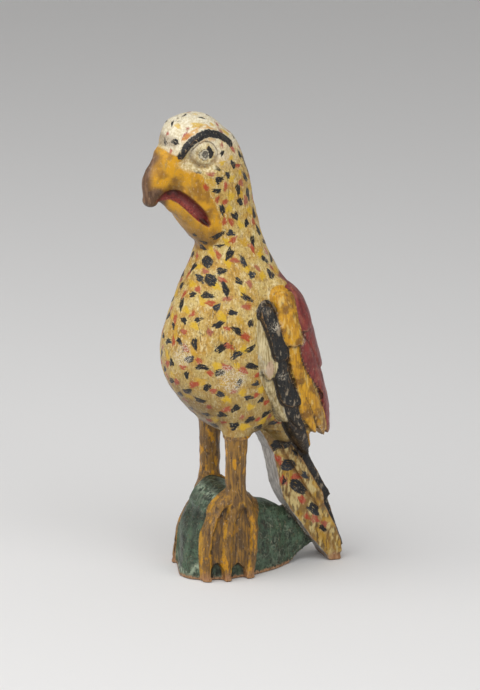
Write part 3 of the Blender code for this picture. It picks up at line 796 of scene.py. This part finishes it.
def mark_parts(mesh, block, points, normals):
    """Marks the limbs, mound, tail, wings and back, and returns which points belong to the speckled bird"""
    x, f, z = points[:, 0], -points[:, 1], points[:, 2]
    names = ("bird", "wing", "leg", "foot", "mound", "tail", "tail_back")
    bird, wing, leg, foot, mound, tail, tail_back = (block.away(name, points) for name in names)
    limb, tails = np.minimum(leg, foot), np.minimum(tail, tail_back)
    keep(mesh, "limb", np.minimum(np.minimum(np.minimum(bird, mound), tail) - limb, LIMB_TOP - z))
    others = np.minimum(np.minimum(bird, limb), tails)
    keep(mesh, "mound", np.where(z < MOUND_TOP, others - mound, -FAR))
    others = np.minimum(np.minimum(bird, wing), np.minimum(mound, leg))
    low = z < TAIL_TOP
    keep(mesh, "tail", np.where(low, others - tails, -FAR))
    keep(mesh, "tail_black", np.where(low, np.minimum(tail - tail_back, TAIL_BLACK_FROM - f), -FAR))
    under = -normals[:, 1] * TAIL_UNDER_WAY[0] - normals[:, 2] * TAIL_UNDER_WAY[1]
    keep(mesh, "tail_under", np.where(np.abs(x) < TAIL_UNDER_HALF, under, 0.0))
    ridges = [path_distance(f, z, outline) for outline, _ in TAIL[1:3]]
    keep(mesh, "tail_ridge", np.where(z < RIDGE_TOP, np.min(ridges, axis=0), FAR))
    folds = [path_distance(f, z, fold) for fold in MOUND_FOLDS]
    keep(mesh, "fold", np.where(z < FOOT_TOP, np.min(folds, axis=0), 30.0), 30.0)
    toes = [path_distance(f, z, toe) for toe in LEFT_TOES]
    keep(mesh, "toe", np.where(z < FOOT_TOP, np.min(toes, axis=0), 16.0), 16.0)

    sides = (np.abs(x) > WING_SIDE) & (z < WING_TOP)
    names = ("feather_white", "feather_black", "feather_yellow", "feather_red", "feather_seam", "feather_rim")
    for name, share in zip(names, feather_paint(f, z)):
        keep(mesh, name, np.where(sides & (z > WING_END), share, 0.0))
    bared = np.hypot((f - BARED[0]) / BARED[2], (z - BARED[1]) / BARED[3]) - 1
    keep(mesh, "bared", np.where(sides, bared, FAR))
    back = outline_distance(f, z, BACK)
    keep(mesh, "back", np.where((z < WING_TOP) & (z > BACK_END), back, FAR))

    keep(mesh, "bend", bend_of(mesh, points))
    worn = [np.linalg.norm(points - (a, -b, c), axis=1) - reach for a, b, c, reach in WORN]
    keep(mesh, "worn", np.min(worn, axis=0), 12.0)
    # how far each point faces down, for the painted shade on the undersides
    keep(mesh, "down", -normals[:, 2])
    in_wing = (np.abs(x) > WING_SIDE) & (outline_distance(f, z, curved(WING_FILL)) < 3.0) & (f < WING_FRONT)
    return (bird < 1.2) & (z > BELLY_END) & ~in_wing & (back > 4.0)


def lay_strokes(mesh, points, normals, free):
    """Lays strokes of each colour, first the listed ones, then others by chance on the free points"""
    rng = np.random.default_rng(5)
    z = points[:, 2]
    free = free & ((z < CROWN_FROM) | (rng.uniform(size=len(points)) < CROWN_SHARE))
    tree = kdtree.KDTree(len(points))
    for n, point in enumerate(points):
        tree.insert(Vector(point), n)
    tree.balance()

    def laid(x, f, height, long, wide, slope, seed):
        i = tree.find(Vector((x, -f, height)))[1]
        return stroke(points[i], normals[i], slope, long, wide, seed)

    taken = np.zeros((0, 3))
    placed = []
    for n, (_, rows, tail_rows, *_) in enumerate(STROKES):
        made = [laid(*row, 20 * n + m) for m, row in enumerate(rows)]
        for m, row in enumerate(tail_rows):
            made += [laid(sign * TAIL_SIDE, *row, 40 + 20 * n + 2 * m + sign) for sign in (1, -1)]
        placed.append(made)
        taken = np.vstack([taken, [made_one[0] for made_one in made]])
    for (name, _, _, apart, clear, longs, wides), strokes in zip(STROKES, placed):
        for i in chosen(rng, points, free, apart, taken, clear):
            mean, spread = next((mean, spread) for low, mean, spread in STROKE_SLOPES if z[i] > low)
            slope = rng.normal(mean, spread)
            small = 1.0 - 0.42 * ramp(z[i], 400, 450)
            long = rng.uniform(*longs) * small
            wide = rng.uniform(*wides) * small
            strokes.append(stroke(points[i], normals[i], slope, long, wide, rng.uniform(100, 200)))
        taken = np.vstack([taken, [made_one[0] for made_one in strokes]])
        outside, where = stroke_field(tree, points, strokes)
        keep(mesh, name + "_stroke", outside)
        layer = mesh.attributes.new(name + "_place", "FLOAT_VECTOR", "POINT")
        layer.data.foreach_set("vector", where.astype(np.float32).ravel())


def mark_skin(mesh, block):
    """Writes on each point of the skin what the paint needs to know of it"""
    places = np.zeros(len(mesh.vertices) * 3)
    mesh.vertices.foreach_get("co", places)
    points = places.reshape(-1, 3) / UNIT
    normals = slope_at(block, points)
    head_x, head_f = turned(points[:, 0], -points[:, 1], points[:, 2])
    clear = mark_head(mesh, head_x, head_f, points[:, 2])
    speckled = mark_parts(mesh, block, points, normals)
    lay_strokes(mesh, points, normals, clear & speckled)


def rgb(red, green, blue):
    """The shader's colour for an 8 bit one"""
    share = np.array([red, green, blue]) / 255
    plain = np.where(share <= 0.04045, share / 12.92, ((share + 0.055) / 1.055) ** 2.4)
    return (*plain.tolist(), 1.0)


class Paint:
    """Makes and joins the nodes of a material, and holds the noises that its parts share

    A value is a number, another node's socket, an 8 bit colour or the name of what is marked on the skin.
    """

    def __init__(self, name):
        self.material = bpy.data.materials.new(name)
        self.material.use_nodes = True
        self.tree = self.material.node_tree
        self.shader = self.tree.nodes["Principled BSDF"]
        self.places = self.tree.nodes.new("ShaderNodeTexCoord").outputs["Object"]
        self.broad = self.noise(46, 3)
        self.blots = self.noise(15, 3)
        self.grain = self.noise(5, 4, (1.6, 1.6, 0.22))
        self.fine = self.noise(2.2, 4)
        self.speck = self.noise(1.1, 2)
        self.brushed = self.noise(4, 3, (1.0, 1.0, 0.35))
        self.strips = self.noise(2.6, 5, (1.0, 1.0, 0.6), rough=0.65)
        self.streak = self.noise(3.2, 4, (1.5, 1.5, 0.18))
        separate = self.tree.nodes.new("ShaderNodeSeparateXYZ")
        self.put(separate.inputs[0], self.places)
        self.height = self.math("MULTIPLY", separate.outputs["Z"], 1.0 / UNIT)

    def put(self, socket, value):
        if isinstance(value, str):
            value = self.given(value)
        if isinstance(value, tuple):
            value = rgb(*value)
        if isinstance(value, bpy.types.NodeSocket):
            self.tree.links.new(value, socket)
        else:
            socket.default_value = value

    def math(self, operation, a, b=0.0, clamp=False):
        node = self.tree.nodes.new("ShaderNodeMath")
        node.operation = operation
        node.use_clamp = clamp
        self.put(node.inputs[0], a)
        self.put(node.inputs[1], b)
        return node.outputs[0]

    def given(self, name, output="Fac"):
        node = self.tree.nodes.new("ShaderNodeAttribute")
        node.attribute_name = name
        return node.outputs[output]

    def noise(self, size, detail=2.0, stretch=(1, 1, 1), vector=None, rough=0.5):
        """Noise with blots of a size in units"""
        scaled = self.tree.nodes.new("ShaderNodeVectorMath")
        scaled.operation = "MULTIPLY"
        self.put(scaled.inputs[0], vector or self.places)
        scaled.inputs[1].default_value = stretch
        node = self.tree.nodes.new("ShaderNodeTexNoise")
        self.put(node.inputs["Vector"], scaled.outputs[0])
        node.inputs["Scale"].default_value = 1.0 / size if vector else 1.0 / (size * UNIT)
        node.inputs["Detail"].default_value = detail
        node.inputs["Roughness"].default_value = rough
        return node.outputs["Fac"]

    def step(self, value, low, high):
        """Share that grows from nothing at low to all at high"""
        node = self.tree.nodes.new("ShaderNodeMapRange")
        node.interpolation_type = "SMOOTHSTEP"
        self.put(node.inputs["Value"], value)
        node.inputs["From Min"].default_value = low
        node.inputs["From Max"].default_value = high
        return node.outputs["Result"]

    def wander(self, value, noise, swing):
        """A distance whose zero wanders with the noise"""
        return self.math("ADD", value, self.math("MULTIPLY", self.math("SUBTRACT", noise, 0.5), swing))

    def edge(self, value, noise, swing, low, high):
        """A step whose edge wanders with the noise"""
        return self.step(self.wander(value, noise, swing), low, high)

    def apart(self, value, middle):
        return self.math("ABSOLUTE", self.math("SUBTRACT", value, middle))

    def band(self, value, middle, wide, narrow):
        """Share that is all within narrow of the middle and nothing beyond wide"""
        return self.step(self.apart(value, middle), wide, narrow)

    def mix(self, share, under, over):
        node = self.tree.nodes.new("ShaderNodeMix")
        node.data_type = "RGBA"
        self.put(node.inputs["Factor"], share)
        self.put(node.inputs["A"], under)
        self.put(node.inputs["B"], over)
        return node.outputs["Result"]

    def both(self, a, b):
        return self.math("MULTIPLY", a, b, clamp=True)

    def less(self, share):
        return self.math("SUBTRACT", 1.0, share)

    def lay(self, under, share, cover, over):
        """Lays a colour over another where the share says, no thicker than the cover"""
        return self.mix(self.both(share, cover), under, over)

    def shades(self, value, low, high, first, second):
        """Two colours that turn into each other between low and high"""
        return self.mix(self.step(value, low, high), first, second)

    def coats(self, colour, *rows):
        """Lays coats over a colour, each a value, where it starts and is full, its cover and its own colour"""
        for value, low, high, cover, over in rows:
            colour = self.lay(colour, self.step(value, low, high), cover, over)
        return colour

    def total(self, first, *others):
        for value in others:
            first = self.math("ADD", first, value)
        return first

    def weighed(self, *pairs):
        """The sum of values, each times its weight"""
        return self.total(*(self.math("MULTIPLY", value, weight) for value, weight in pairs))


def paint_ground(p):
    """Oil colour laid thinly over a light ground, paler on the crown, with painted highlights and painted shade on
    the belly
    """
    colour = p.shades(p.blots, 0.36, 0.66, (214, 186, 112), (198, 152, 58))
    colour = p.coats(
        colour,
        (p.broad, 0.52, 0.72, 0.5, (184, 138, 44)),
        # painted highlights: cream streaks over the ground
        (p.brushed, 0.52, 0.7, 0.7, (238, 220, 164)),
        (p.strips, 0.55, 0.62, 0.55, (244, 228, 178)),
        (p.strips, 0.45, 0.38, 0.5, (150, 114, 48)),
        (p.fine, 0.54, 0.64, 0.5, (140, 102, 44)),
        (p.noise(1.6, 3, (1.2, 1.2, 0.4)), 0.56, 0.66, 0.5, (140, 106, 58)),
    )
    # painted shade: darker towards the bottom of the body
    colour = p.lay(colour, p.edge(p.height, p.blots, 60, 270, 160), 0.5, (122, 94, 48))
    pale = p.shades(p.fine, 0.4, 0.6, (246, 240, 218), (224, 212, 180))
    return p.lay(colour, p.edge(p.height, p.blots, 70, 414, 458), 0.88, pale)


def paint_face(p, colour):
    """Ochre face with painted shade on the chin, a grey smudge over the beak, the brown beak tip and the red mouth
    with painted shade under its roof
    """
    face = p.edge("face", p.blots, 3.4, 1.2, -1.2)
    ochre = p.shades(p.blots, 0.42, 0.64, (216, 156, 4), (156, 108, 20))
    ochre = p.mix(p.step(p.brushed, 0.5, 0.75), ochre, (180, 138, 56))
    colour = p.mix(face, colour, ochre)
    # painted shade under the beak: the chin is darker
    chin_shade = p.both(face, p.edge(p.height, p.blots, 24, 366, 344))
    colour = p.lay(colour, chin_shade, 0.6, (120, 82, 16))
    grey = p.shades(p.fine, 0.4, 0.6, (172, 154, 130), (146, 126, 102))
    colour = p.lay(colour, p.edge("smudge", p.blots, 7, 2.0, -2.0), 0.75, grey)
    brown = p.shades(p.grain, 0.4, 0.6, (128, 94, 66), (96, 66, 44))
    colour = p.mix(p.edge("beak_tip", p.blots, 9, 3.0, -3.0), colour, brown)
    # painted shade: the mouth is dark red under its roof and pinker below
    inner = p.shades("mouth_roof", 3.0, 9.0, (116, 36, 34), (164, 74, 62))
    inner = p.mix(p.edge("mouth_roof", p.fine, 3.0, 9.5, 11.5), inner, (96, 58, 48))
    inner = p.mix(p.step(p.fine, 0.48, 0.62), inner, (120, 42, 40))
    return p.mix(p.edge("mouth", p.fine, 1.6, 1.0, -0.6), colour, inner)


def paint_tail_sides(p, colour, on_tail):
    """Sides of the tail, more yellow and stained along its ridges"""
    stained = p.shades(p.brushed, 0.42, 0.58, (204, 182, 122), (138, 106, 50))
    stained = p.coats(
        stained,
        (p.blots, 0.5, 0.62, 0.7, (184, 138, 22)),
        (p.noise(6, 5, (1.6, 1.6, 0.5)), 0.54, 0.62, 0.75, (74, 52, 26)),
    )
    colour = p.mix(on_tail, colour, stained)
    amber = p.both(p.edge("tail_ridge", p.blots, 5, 3.4, 0.6), on_tail)
    return p.lay(colour, amber, 0.6, (140, 98, 44))


def paint_strokes(p, colour):
    """Strokes of yellow, red and black with the marks of the bristles, and how thick the paint lies in them"""
    thickness = 0.0
    for name, (first, second, cover, soft) in STROKE_COLOURS.items():
        place = p.given(name + "_place", "Vector")
        bristles = p.noise(1.0, 2, (0.11, 0.8, 3.1), place)
        gaps = p.noise(1.0, 1, (0.25, 1.3, 5.3), place)
        shade = p.noise(1.0, 0, (0.02, 0.02, 7.7), place)
        laid = p.edge(name + "_stroke", bristles, 3.8, soft, -soft)
        laid = p.both(laid, p.less(p.both(p.step(gaps, 0.63, 0.71), 0.8)))
        laid = p.both(laid, cover)
        colour = p.mix(laid, colour, p.mix(p.step(shade, 0.5, 0.6), first, second))
        thickness = p.math("ADD", thickness, laid)
    return colour, thickness


def paint_eye(p, colour):
    """Painted highlight on the pouch under the eye, painted shade below the eyeball, the eyeball with its rings, the
    black mark in it and the brow over it
    """
    # painted highlight: a pale band on the pouch under the eye
    pale = p.shades(p.fine, 0.4, 0.6, (246, 232, 188), (204, 178, 120))
    colour = p.lay(colour, p.edge("pouch", p.blots, 1.4, 0.25, -0.25), 0.85, pale)
    ball = p.shades(p.strips, 0.4, 0.6, (186, 156, 98), (236, 222, 176))
    colour = p.lay(colour, p.edge("eye", p.blots, 6.0, 13.0, 9.0), 0.85, ball)
    lid = p.wander("eye", p.brushed, 3.0)
    # painted shade: a brown ring in the socket below the eyeball
    low_ring_shade = p.both(p.band(lid, 12.0, 3.6, 1.0), p.edge(p.height, p.blots, 14, 440, 431))
    colour = p.lay(colour, low_ring_shade, 0.6, (136, 102, 52))
    lines = p.both(p.band(lid, 12.8, 1.1, 0.3), p.edge(p.height, p.blots, 20, 438, 446))
    colour = p.lay(colour, lines, 0.7, (98, 72, 34))
    gilt = p.both(p.band("brow", 2.2, 2.4, 0.8), p.step(p.height, 447, 454))
    colour = p.lay(colour, p.both(gilt, p.step(p.blots, 0.44, 0.54)), 0.8, (212, 150, 34))
    eye = p.wander("eye", p.fine, 5.0)
    colour = p.lay(colour, p.step(eye, 6.2, 5.0), 0.8, (206, 198, 176))
    rim = p.both(p.band(eye, 5.6, 0.9, 0.2), p.step(p.brushed, 0.44, 0.54))
    colour = p.lay(colour, rim, 0.8, (74, 60, 42))
    iris = p.both(p.step(eye, 1.2, 1.9), p.step(eye, 4.2, 3.0))
    colour = p.lay(colour, iris, 0.85, (62, 60, 58))
    colour = p.lay(colour, p.step(eye, 1.7, 1.0), 0.8, (176, 170, 158))
    marks = p.math("MAXIMUM", p.edge("eye_mark", p.fine, 4.0, 0.8, -0.3), p.edge("brow", p.fine, 2.6, 0.5, -0.4))
    marks = p.both(marks, p.less(p.both(p.step(p.fine, 0.64, 0.7), 0.5)))
    return p.mix(marks, colour, p.shades(p.speck, 0.5, 0.7, (14, 13, 14), (40, 40, 42)))


def paint_wings(p, colour):
    """The red back and the four rows of feathers, and the black that the top of the tail shares with them"""
    maroon = p.shades(p.brushed, 0.36, 0.66, (142, 54, 48), (108, 38, 36))
    maroon = p.lay(maroon, p.step(p.blots, 0.56, 0.7), 0.6, (160, 92, 68))
    colour = p.mix(p.edge("back", p.blots, 9, 1.5, -1.5), colour, maroon)
    pale = p.shades(p.streak, 0.4, 0.62, (216, 200, 154), (158, 136, 86))
    pale = p.mix(p.step(p.blots, 0.55, 0.7), pale, (190, 182, 160))
    dark = p.shades(p.streak, 0.45, 0.7, (16, 16, 17), (44, 42, 38))
    scraped = p.both(p.step(p.noise(6, 5, (1.8, 1.8, 0.3)), 0.54, 0.61), p.step(p.blots, 0.48, 0.58))
    dark = p.lay(dark, scraped, 0.8, (152, 136, 112))
    gold = p.shades(p.streak, 0.34, 0.7, (218, 162, 28), (182, 126, 22))
    gold = p.coats(
        gold,
        (p.blots, 0.46, 0.6, 0.8, (120, 78, 20)),
        (p.noise(8, 5, (1.3, 1.3, 0.45)), 0.56, 0.64, 0.6, (230, 198, 116)),
        (p.noise(7, 5, (1.3, 1.3, 0.5)), 0.58, 0.66, 0.6, (98, 68, 28)),
    )
    # painted highlight together with wear: light rims along the edges of the higher feathers
    rim_wear_and_highlight = p.both(p.edge("feather_rim", p.fine, 1.4, 0.5, 0.9), p.step(p.brushed, 0.5, 0.6))
    feathers = (
        ("feather_white", pale, (222, 210, 184)),
        ("feather_black", dark, (150, 116, 68)),
        ("feather_yellow", gold, (228, 190, 98)),
        ("feather_red", maroon, (178, 112, 88)),
    )
    for name, paint, light in feathers:
        share = p.edge(name, p.fine, 0.35, 0.4, 0.6)
        colour = p.mix(share, colour, p.lay(paint, rim_wear_and_highlight, 0.6, light))
    wood = p.shades(p.grain, 0.42, 0.6, (196, 166, 140), (150, 112, 88))
    return p.lay(colour, p.edge("bared", p.fine, 0.9, 0.15, -0.25), 0.85, wood), dark


def paint_tail_back(p, colour, on_tail, dark, bare):
    """Dark strips along the top of the tail, pale grey beneath it and bare wood at its end"""
    grey = p.shades(p.streak, 0.35, 0.65, (224, 218, 210), (152, 144, 134))
    colour = p.mix(p.both(p.step("tail_under", 0.5, 0.62), on_tail), colour, grey)
    colour = p.mix(p.both(p.step("tail_black", 0.0, 0.8), on_tail), colour, dark)
    tail_end = p.both(p.edge(p.height, p.blots, 30, 12, 2), on_tail)
    return p.lay(colour, tail_end, 0.8, bare)


def paint_limbs(p, colour, bare):
    """Legs and feet, brown with streaks of ochre, with painted shade in the webs and painted highlights on the toes,
    bare at the tips of the toes
    """
    bronze = p.shades(p.streak, 0.32, 0.68, (156, 114, 44), (104, 76, 42))
    blotched = p.step(p.noise(9, 5, (1.2, 1.2, 0.6), rough=0.6), 0.56, 0.63)
    bronze = p.lay(bronze, blotched, 0.85, (206, 144, 8))
    bronze = p.lay(bronze, p.step(p.brushed, 0.56, 0.66), 0.75, (62, 42, 24))
    foot = p.step(p.height, 92, 80)
    # painted shade: darker in the webs between the toes
    web_shade = p.both(p.step("toe", 4.0, 7.0), foot)
    bronze = p.lay(bronze, web_shade, 0.6, p.shades(p.streak, 0.4, 0.55, (140, 100, 32), (74, 54, 30)))
    # painted highlights: ochre along the flanks of the toes
    flank_highlight = p.band(p.wander("toe", p.fine, 2.4), 4.2, 1.4, 0.5)
    flank_highlight = p.both(p.both(flank_highlight, foot), p.step(p.blots, 0.4, 0.55))
    bronze = p.lay(bronze, flank_highlight, 0.8, (204, 148, 28))
    limb = p.edge("limb", p.fine, 2.0, -0.5, 0.6)
    colour = p.mix(limb, colour, bronze)
    return p.lay(colour, p.both(p.edge(p.height, p.blots, 22, 14, 4), limb), 0.85, bare)


def paint_mound(p, colour, bare):
    """Green mound, rubbed pale between its folds, with painted shade in them, bare along its foot, and where it is
    """
    green = p.shades(p.blots, 0.36, 0.62, (78, 100, 76), (32, 42, 30))
    green = p.coats(
        green,
        (p.noise(8, 4), 0.44, 0.66, 0.6, (86, 112, 88)),
        (p.brushed, 0.52, 0.7, 0.6, (52, 52, 36)),
        (p.fine, 0.54, 0.62, 0.6, (26, 30, 22)),
    )
    scuffs = p.edge(p.apart(p.noise(13, 3), 0.5), p.fine, 0.06, 0.045, 0.0)
    green = p.lay(green, p.both(scuffs, p.step(p.blots, 0.42, 0.6)), 0.3, (150, 166, 140))
    between = p.both(p.step("fold", 5.0, 9.0), p.step("fold", 15.0, 9.0))
    between = p.both(between, p.edge(p.brushed, p.fine, 0.3, 0.42, 0.58))
    green = p.lay(green, between, 0.8, (166, 182, 156))
    # painted shade: darker in the carved folds
    green = p.lay(green, p.step("fold", 3.0, 0.0), 0.5, (28, 34, 24))
    green = p.lay(green, p.edge(p.height, p.fine, 7, 4.5, 2.0), 0.85, bare)
    mound = p.edge("mound", p.fine, 2.0, -0.5, 0.5)
    return p.mix(mound, colour, green), mound


def paint_wear(p, colour):
    """Worn edges, pale rubbed places, dirt and painted shade in the hollows and seams, stains and grime, painted
    shade on faces turned down, and where the edges are worn
    """
    worn_edge = p.both(p.edge("bend", p.fine, 0.16, 0.08, 0.14), p.step(p.brushed, 0.4, 0.54))
    wood = p.shades(p.speck, 0.4, 0.6, (196, 156, 104), (170, 122, 70))
    colour = p.lay(colour, worn_edge, 0.6, wood)
    worn = p.both(p.edge("worn", p.blots, 16, 2, -5), p.step(p.speck, 0.47, 0.58))
    colour = p.lay(colour, worn, 0.75, (226, 214, 190))
    # painted shade together with dirt: dark in the hollows and along the feather seams
    seams = p.both(p.edge("feather_seam", p.fine, 0.3, 0.25, 0.6), 0.8)
    hollow_dirt_and_shade = p.math("MAXIMUM", p.edge("bend", p.fine, 0.08, -0.035, -0.12), seams)
    colour = p.lay(colour, hollow_dirt_and_shade, 0.75, (44, 31, 20))
    colour = p.coats(
        colour,
        (p.noise(3.4, 6, rough=0.75), 0.55, 0.7, 0.42, (128, 92, 46)),
        (p.noise(2.6, 5, (1, 1, 0.6), rough=0.7), 0.58, 0.7, 0.3, (236, 222, 190)),
    )
    # painted shade: darker on faces that turn down
    return p.lay(colour, p.edge("down", p.blots, 0.5, 0.1, 0.8), 0.55, (44, 30, 12)), worn_edge


def painted_wood():
    """The one material of the carving, painted part by part"""
    p = Paint("painted_wood_skin")
    on_tail = p.step("tail", -0.5, 0.5)
    bare = p.shades(p.grain, 0.4, 0.62, (182, 136, 98), (150, 104, 70))
    colour = paint_face(p, paint_ground(p))
    colour = paint_tail_sides(p, colour, on_tail)
    colour, thickness = paint_strokes(p, colour)
    colour, dark = paint_wings(p, paint_eye(p, colour))
    colour = paint_tail_back(p, colour, on_tail, dark, bare)
    colour, mound = paint_mound(p, paint_limbs(p, colour, bare), bare)
    colour, worn_edge = paint_wear(p, colour)
    cracks = p.band(p.noise(16, 4, (1.3, 1.3, 0.1)), 0.5, 0.006, 0.001)
    cracks = p.both(cracks, p.step(p.broad, 0.5, 0.6))
    p.put(p.shader.inputs["Base Color"], p.lay(colour, cracks, 0.7, (52, 36, 22)))

    roughness = p.total(p.weighed((p.fine, 0.2), (mound, 0.06), (worn_edge, 0.15)), 0.34)
    p.put(p.shader.inputs["Roughness"], roughness)
    p.shader.inputs["Specular IOR Level"].default_value = 0.3
    p.shader.inputs["Coat Weight"].default_value = 0.3
    p.shader.inputs["Coat Roughness"].default_value = 0.15
    relief = ((p.fine, 0.9), (p.speck, 0.35), (p.grain, 0.8), (thickness, 0.3), (cracks, -0.8), (p.blots, 1.2))
    bump = p.tree.nodes.new("ShaderNodeBump")
    bump.inputs["Strength"].default_value = 0.7
    bump.inputs["Distance"].default_value = UNIT
    p.put(bump.inputs["Height"], p.weighed(*relief))
    p.put(p.shader.inputs["Normal"], bump.outputs["Normal"])
    p.put(p.shader.inputs["Coat Normal"], bump.outputs["Normal"])
    return p.material


def add_piece():
    block = carved_block()
    mesh = skin_mesh(block)
    mark_skin(mesh, block)
    mesh.materials.clear()
    mesh.materials.append(painted_wood())
    mesh.polygons.foreach_set("use_smooth", np.ones(len(mesh.polygons), bool))
    piece = bpy.data.objects.new("parrot_skin", mesh)
    bpy.context.scene.collection.objects.link(piece)
    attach(piece, "root")
    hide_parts("carved_parrot")
    return piece


AZIMUTH, ELEVATION = np.radians(70.0), np.radians(15.0)
BACK_WAY = Vector((np.sin(AZIMUTH) * np.cos(ELEVATION), -np.cos(AZIMUTH) * np.cos(ELEVATION), np.sin(ELEVATION)))
RIGHT_WAY = Vector((np.cos(AZIMUTH), np.sin(AZIMUTH), 0))
UP_WAY = BACK_WAY.cross(RIGHT_WAY)
CAMERA_AWAY = 4500.0
PICTURE_HEIGHT = 690.0


def add_camera():
    data = bpy.data.cameras.new("camera")
    data.sensor_width = 36.0
    data.lens = data.sensor_width * CAMERA_AWAY / PICTURE_HEIGHT
    data.clip_end = 50.0
    camera = bpy.data.objects.new("camera", data)
    bpy.context.scene.collection.objects.link(camera)
    target = Vector((0, 0, 236)) + RIGHT_WAY * 18.0 - UP_WAY * 3.5
    camera.location = (target + BACK_WAY * CAMERA_AWAY) * UNIT
    camera.rotation_mode = "QUATERNION"
    camera.rotation_quaternion = (-BACK_WAY).to_track_quat("-Z", "Y")
    bpy.context.scene.camera = camera


def add_light(name, way, away, size, power):
    data = bpy.data.lights.new(name, "AREA")
    data.shape = "DISK"
    data.size = size
    data.energy = power
    light = bpy.data.objects.new(name, data)
    bpy.context.scene.collection.objects.link(light)
    way = way.normalized()
    light.location = Vector((0, 0, 0.15)) + way * away
    light.rotation_mode = "QUATERNION"
    light.rotation_quaternion = (-way).to_track_quat("-Z", "Y")


def add_stage():
    """A pale floor that rises softly far behind"""
    rings = (
        (0.0, 0.0), (1.0, 0.0), (2.5, 0.0), (4.4, 0.0), (4.9, 0.05), (5.3, 0.22), (5.6, 0.6), (5.7, 1.2),
        (5.7, 3.2),
    )
    around = 64
    points = []
    for radius, height in rings:
        for n in range(around):
            turn = 2 * np.pi * n / around
            points.append((radius * np.cos(turn), radius * np.sin(turn), height))
    faces = []
    for ring in range(len(rings) - 1):
        for n in range(around):
            a, b = ring * around + n, ring * around + (n + 1) % around
            faces.append((a, a + around, b + around, b))
    mesh = bpy.data.meshes.new("floor")
    mesh.from_pydata(points, [], faces)
    mesh.update()
    mesh.polygons.foreach_set("use_smooth", np.ones(len(mesh.polygons), bool))
    pale = bpy.data.materials.new("pale_paper")
    pale.use_nodes = True
    shader = pale.node_tree.nodes["Principled BSDF"]
    shader.inputs["Base Color"].default_value = (0.82, 0.815, 0.812, 1.0)
    shader.inputs["Roughness"].default_value = 0.9
    mesh.materials.append(pale)
    floor = bpy.data.objects.new("floor", mesh)
    bpy.context.scene.collection.objects.link(floor)


def add_surroundings():
    world = bpy.data.worlds.new("studio")
    world.use_nodes = True
    sky = world.node_tree.nodes["Background"]
    sky.inputs["Color"].default_value = (0.97, 0.965, 0.955, 1.0)
    sky.inputs["Strength"].default_value = 0.37
    bpy.context.scene.world = world
    bpy.context.scene.view_settings.view_transform = "Standard"
    above = Vector((0, 0, 1))
    add_light("key", 0.75 * BACK_WAY - 0.75 * RIGHT_WAY + 1.1 * above, away=1.7, size=2.8, power=31.5)
    add_light("fill", 0.9 * BACK_WAY + 0.9 * RIGHT_WAY + 0.5 * above, away=2.2, size=1.8, power=11.5)


add_piece()
add_camera()
add_stage()
add_surroundings()
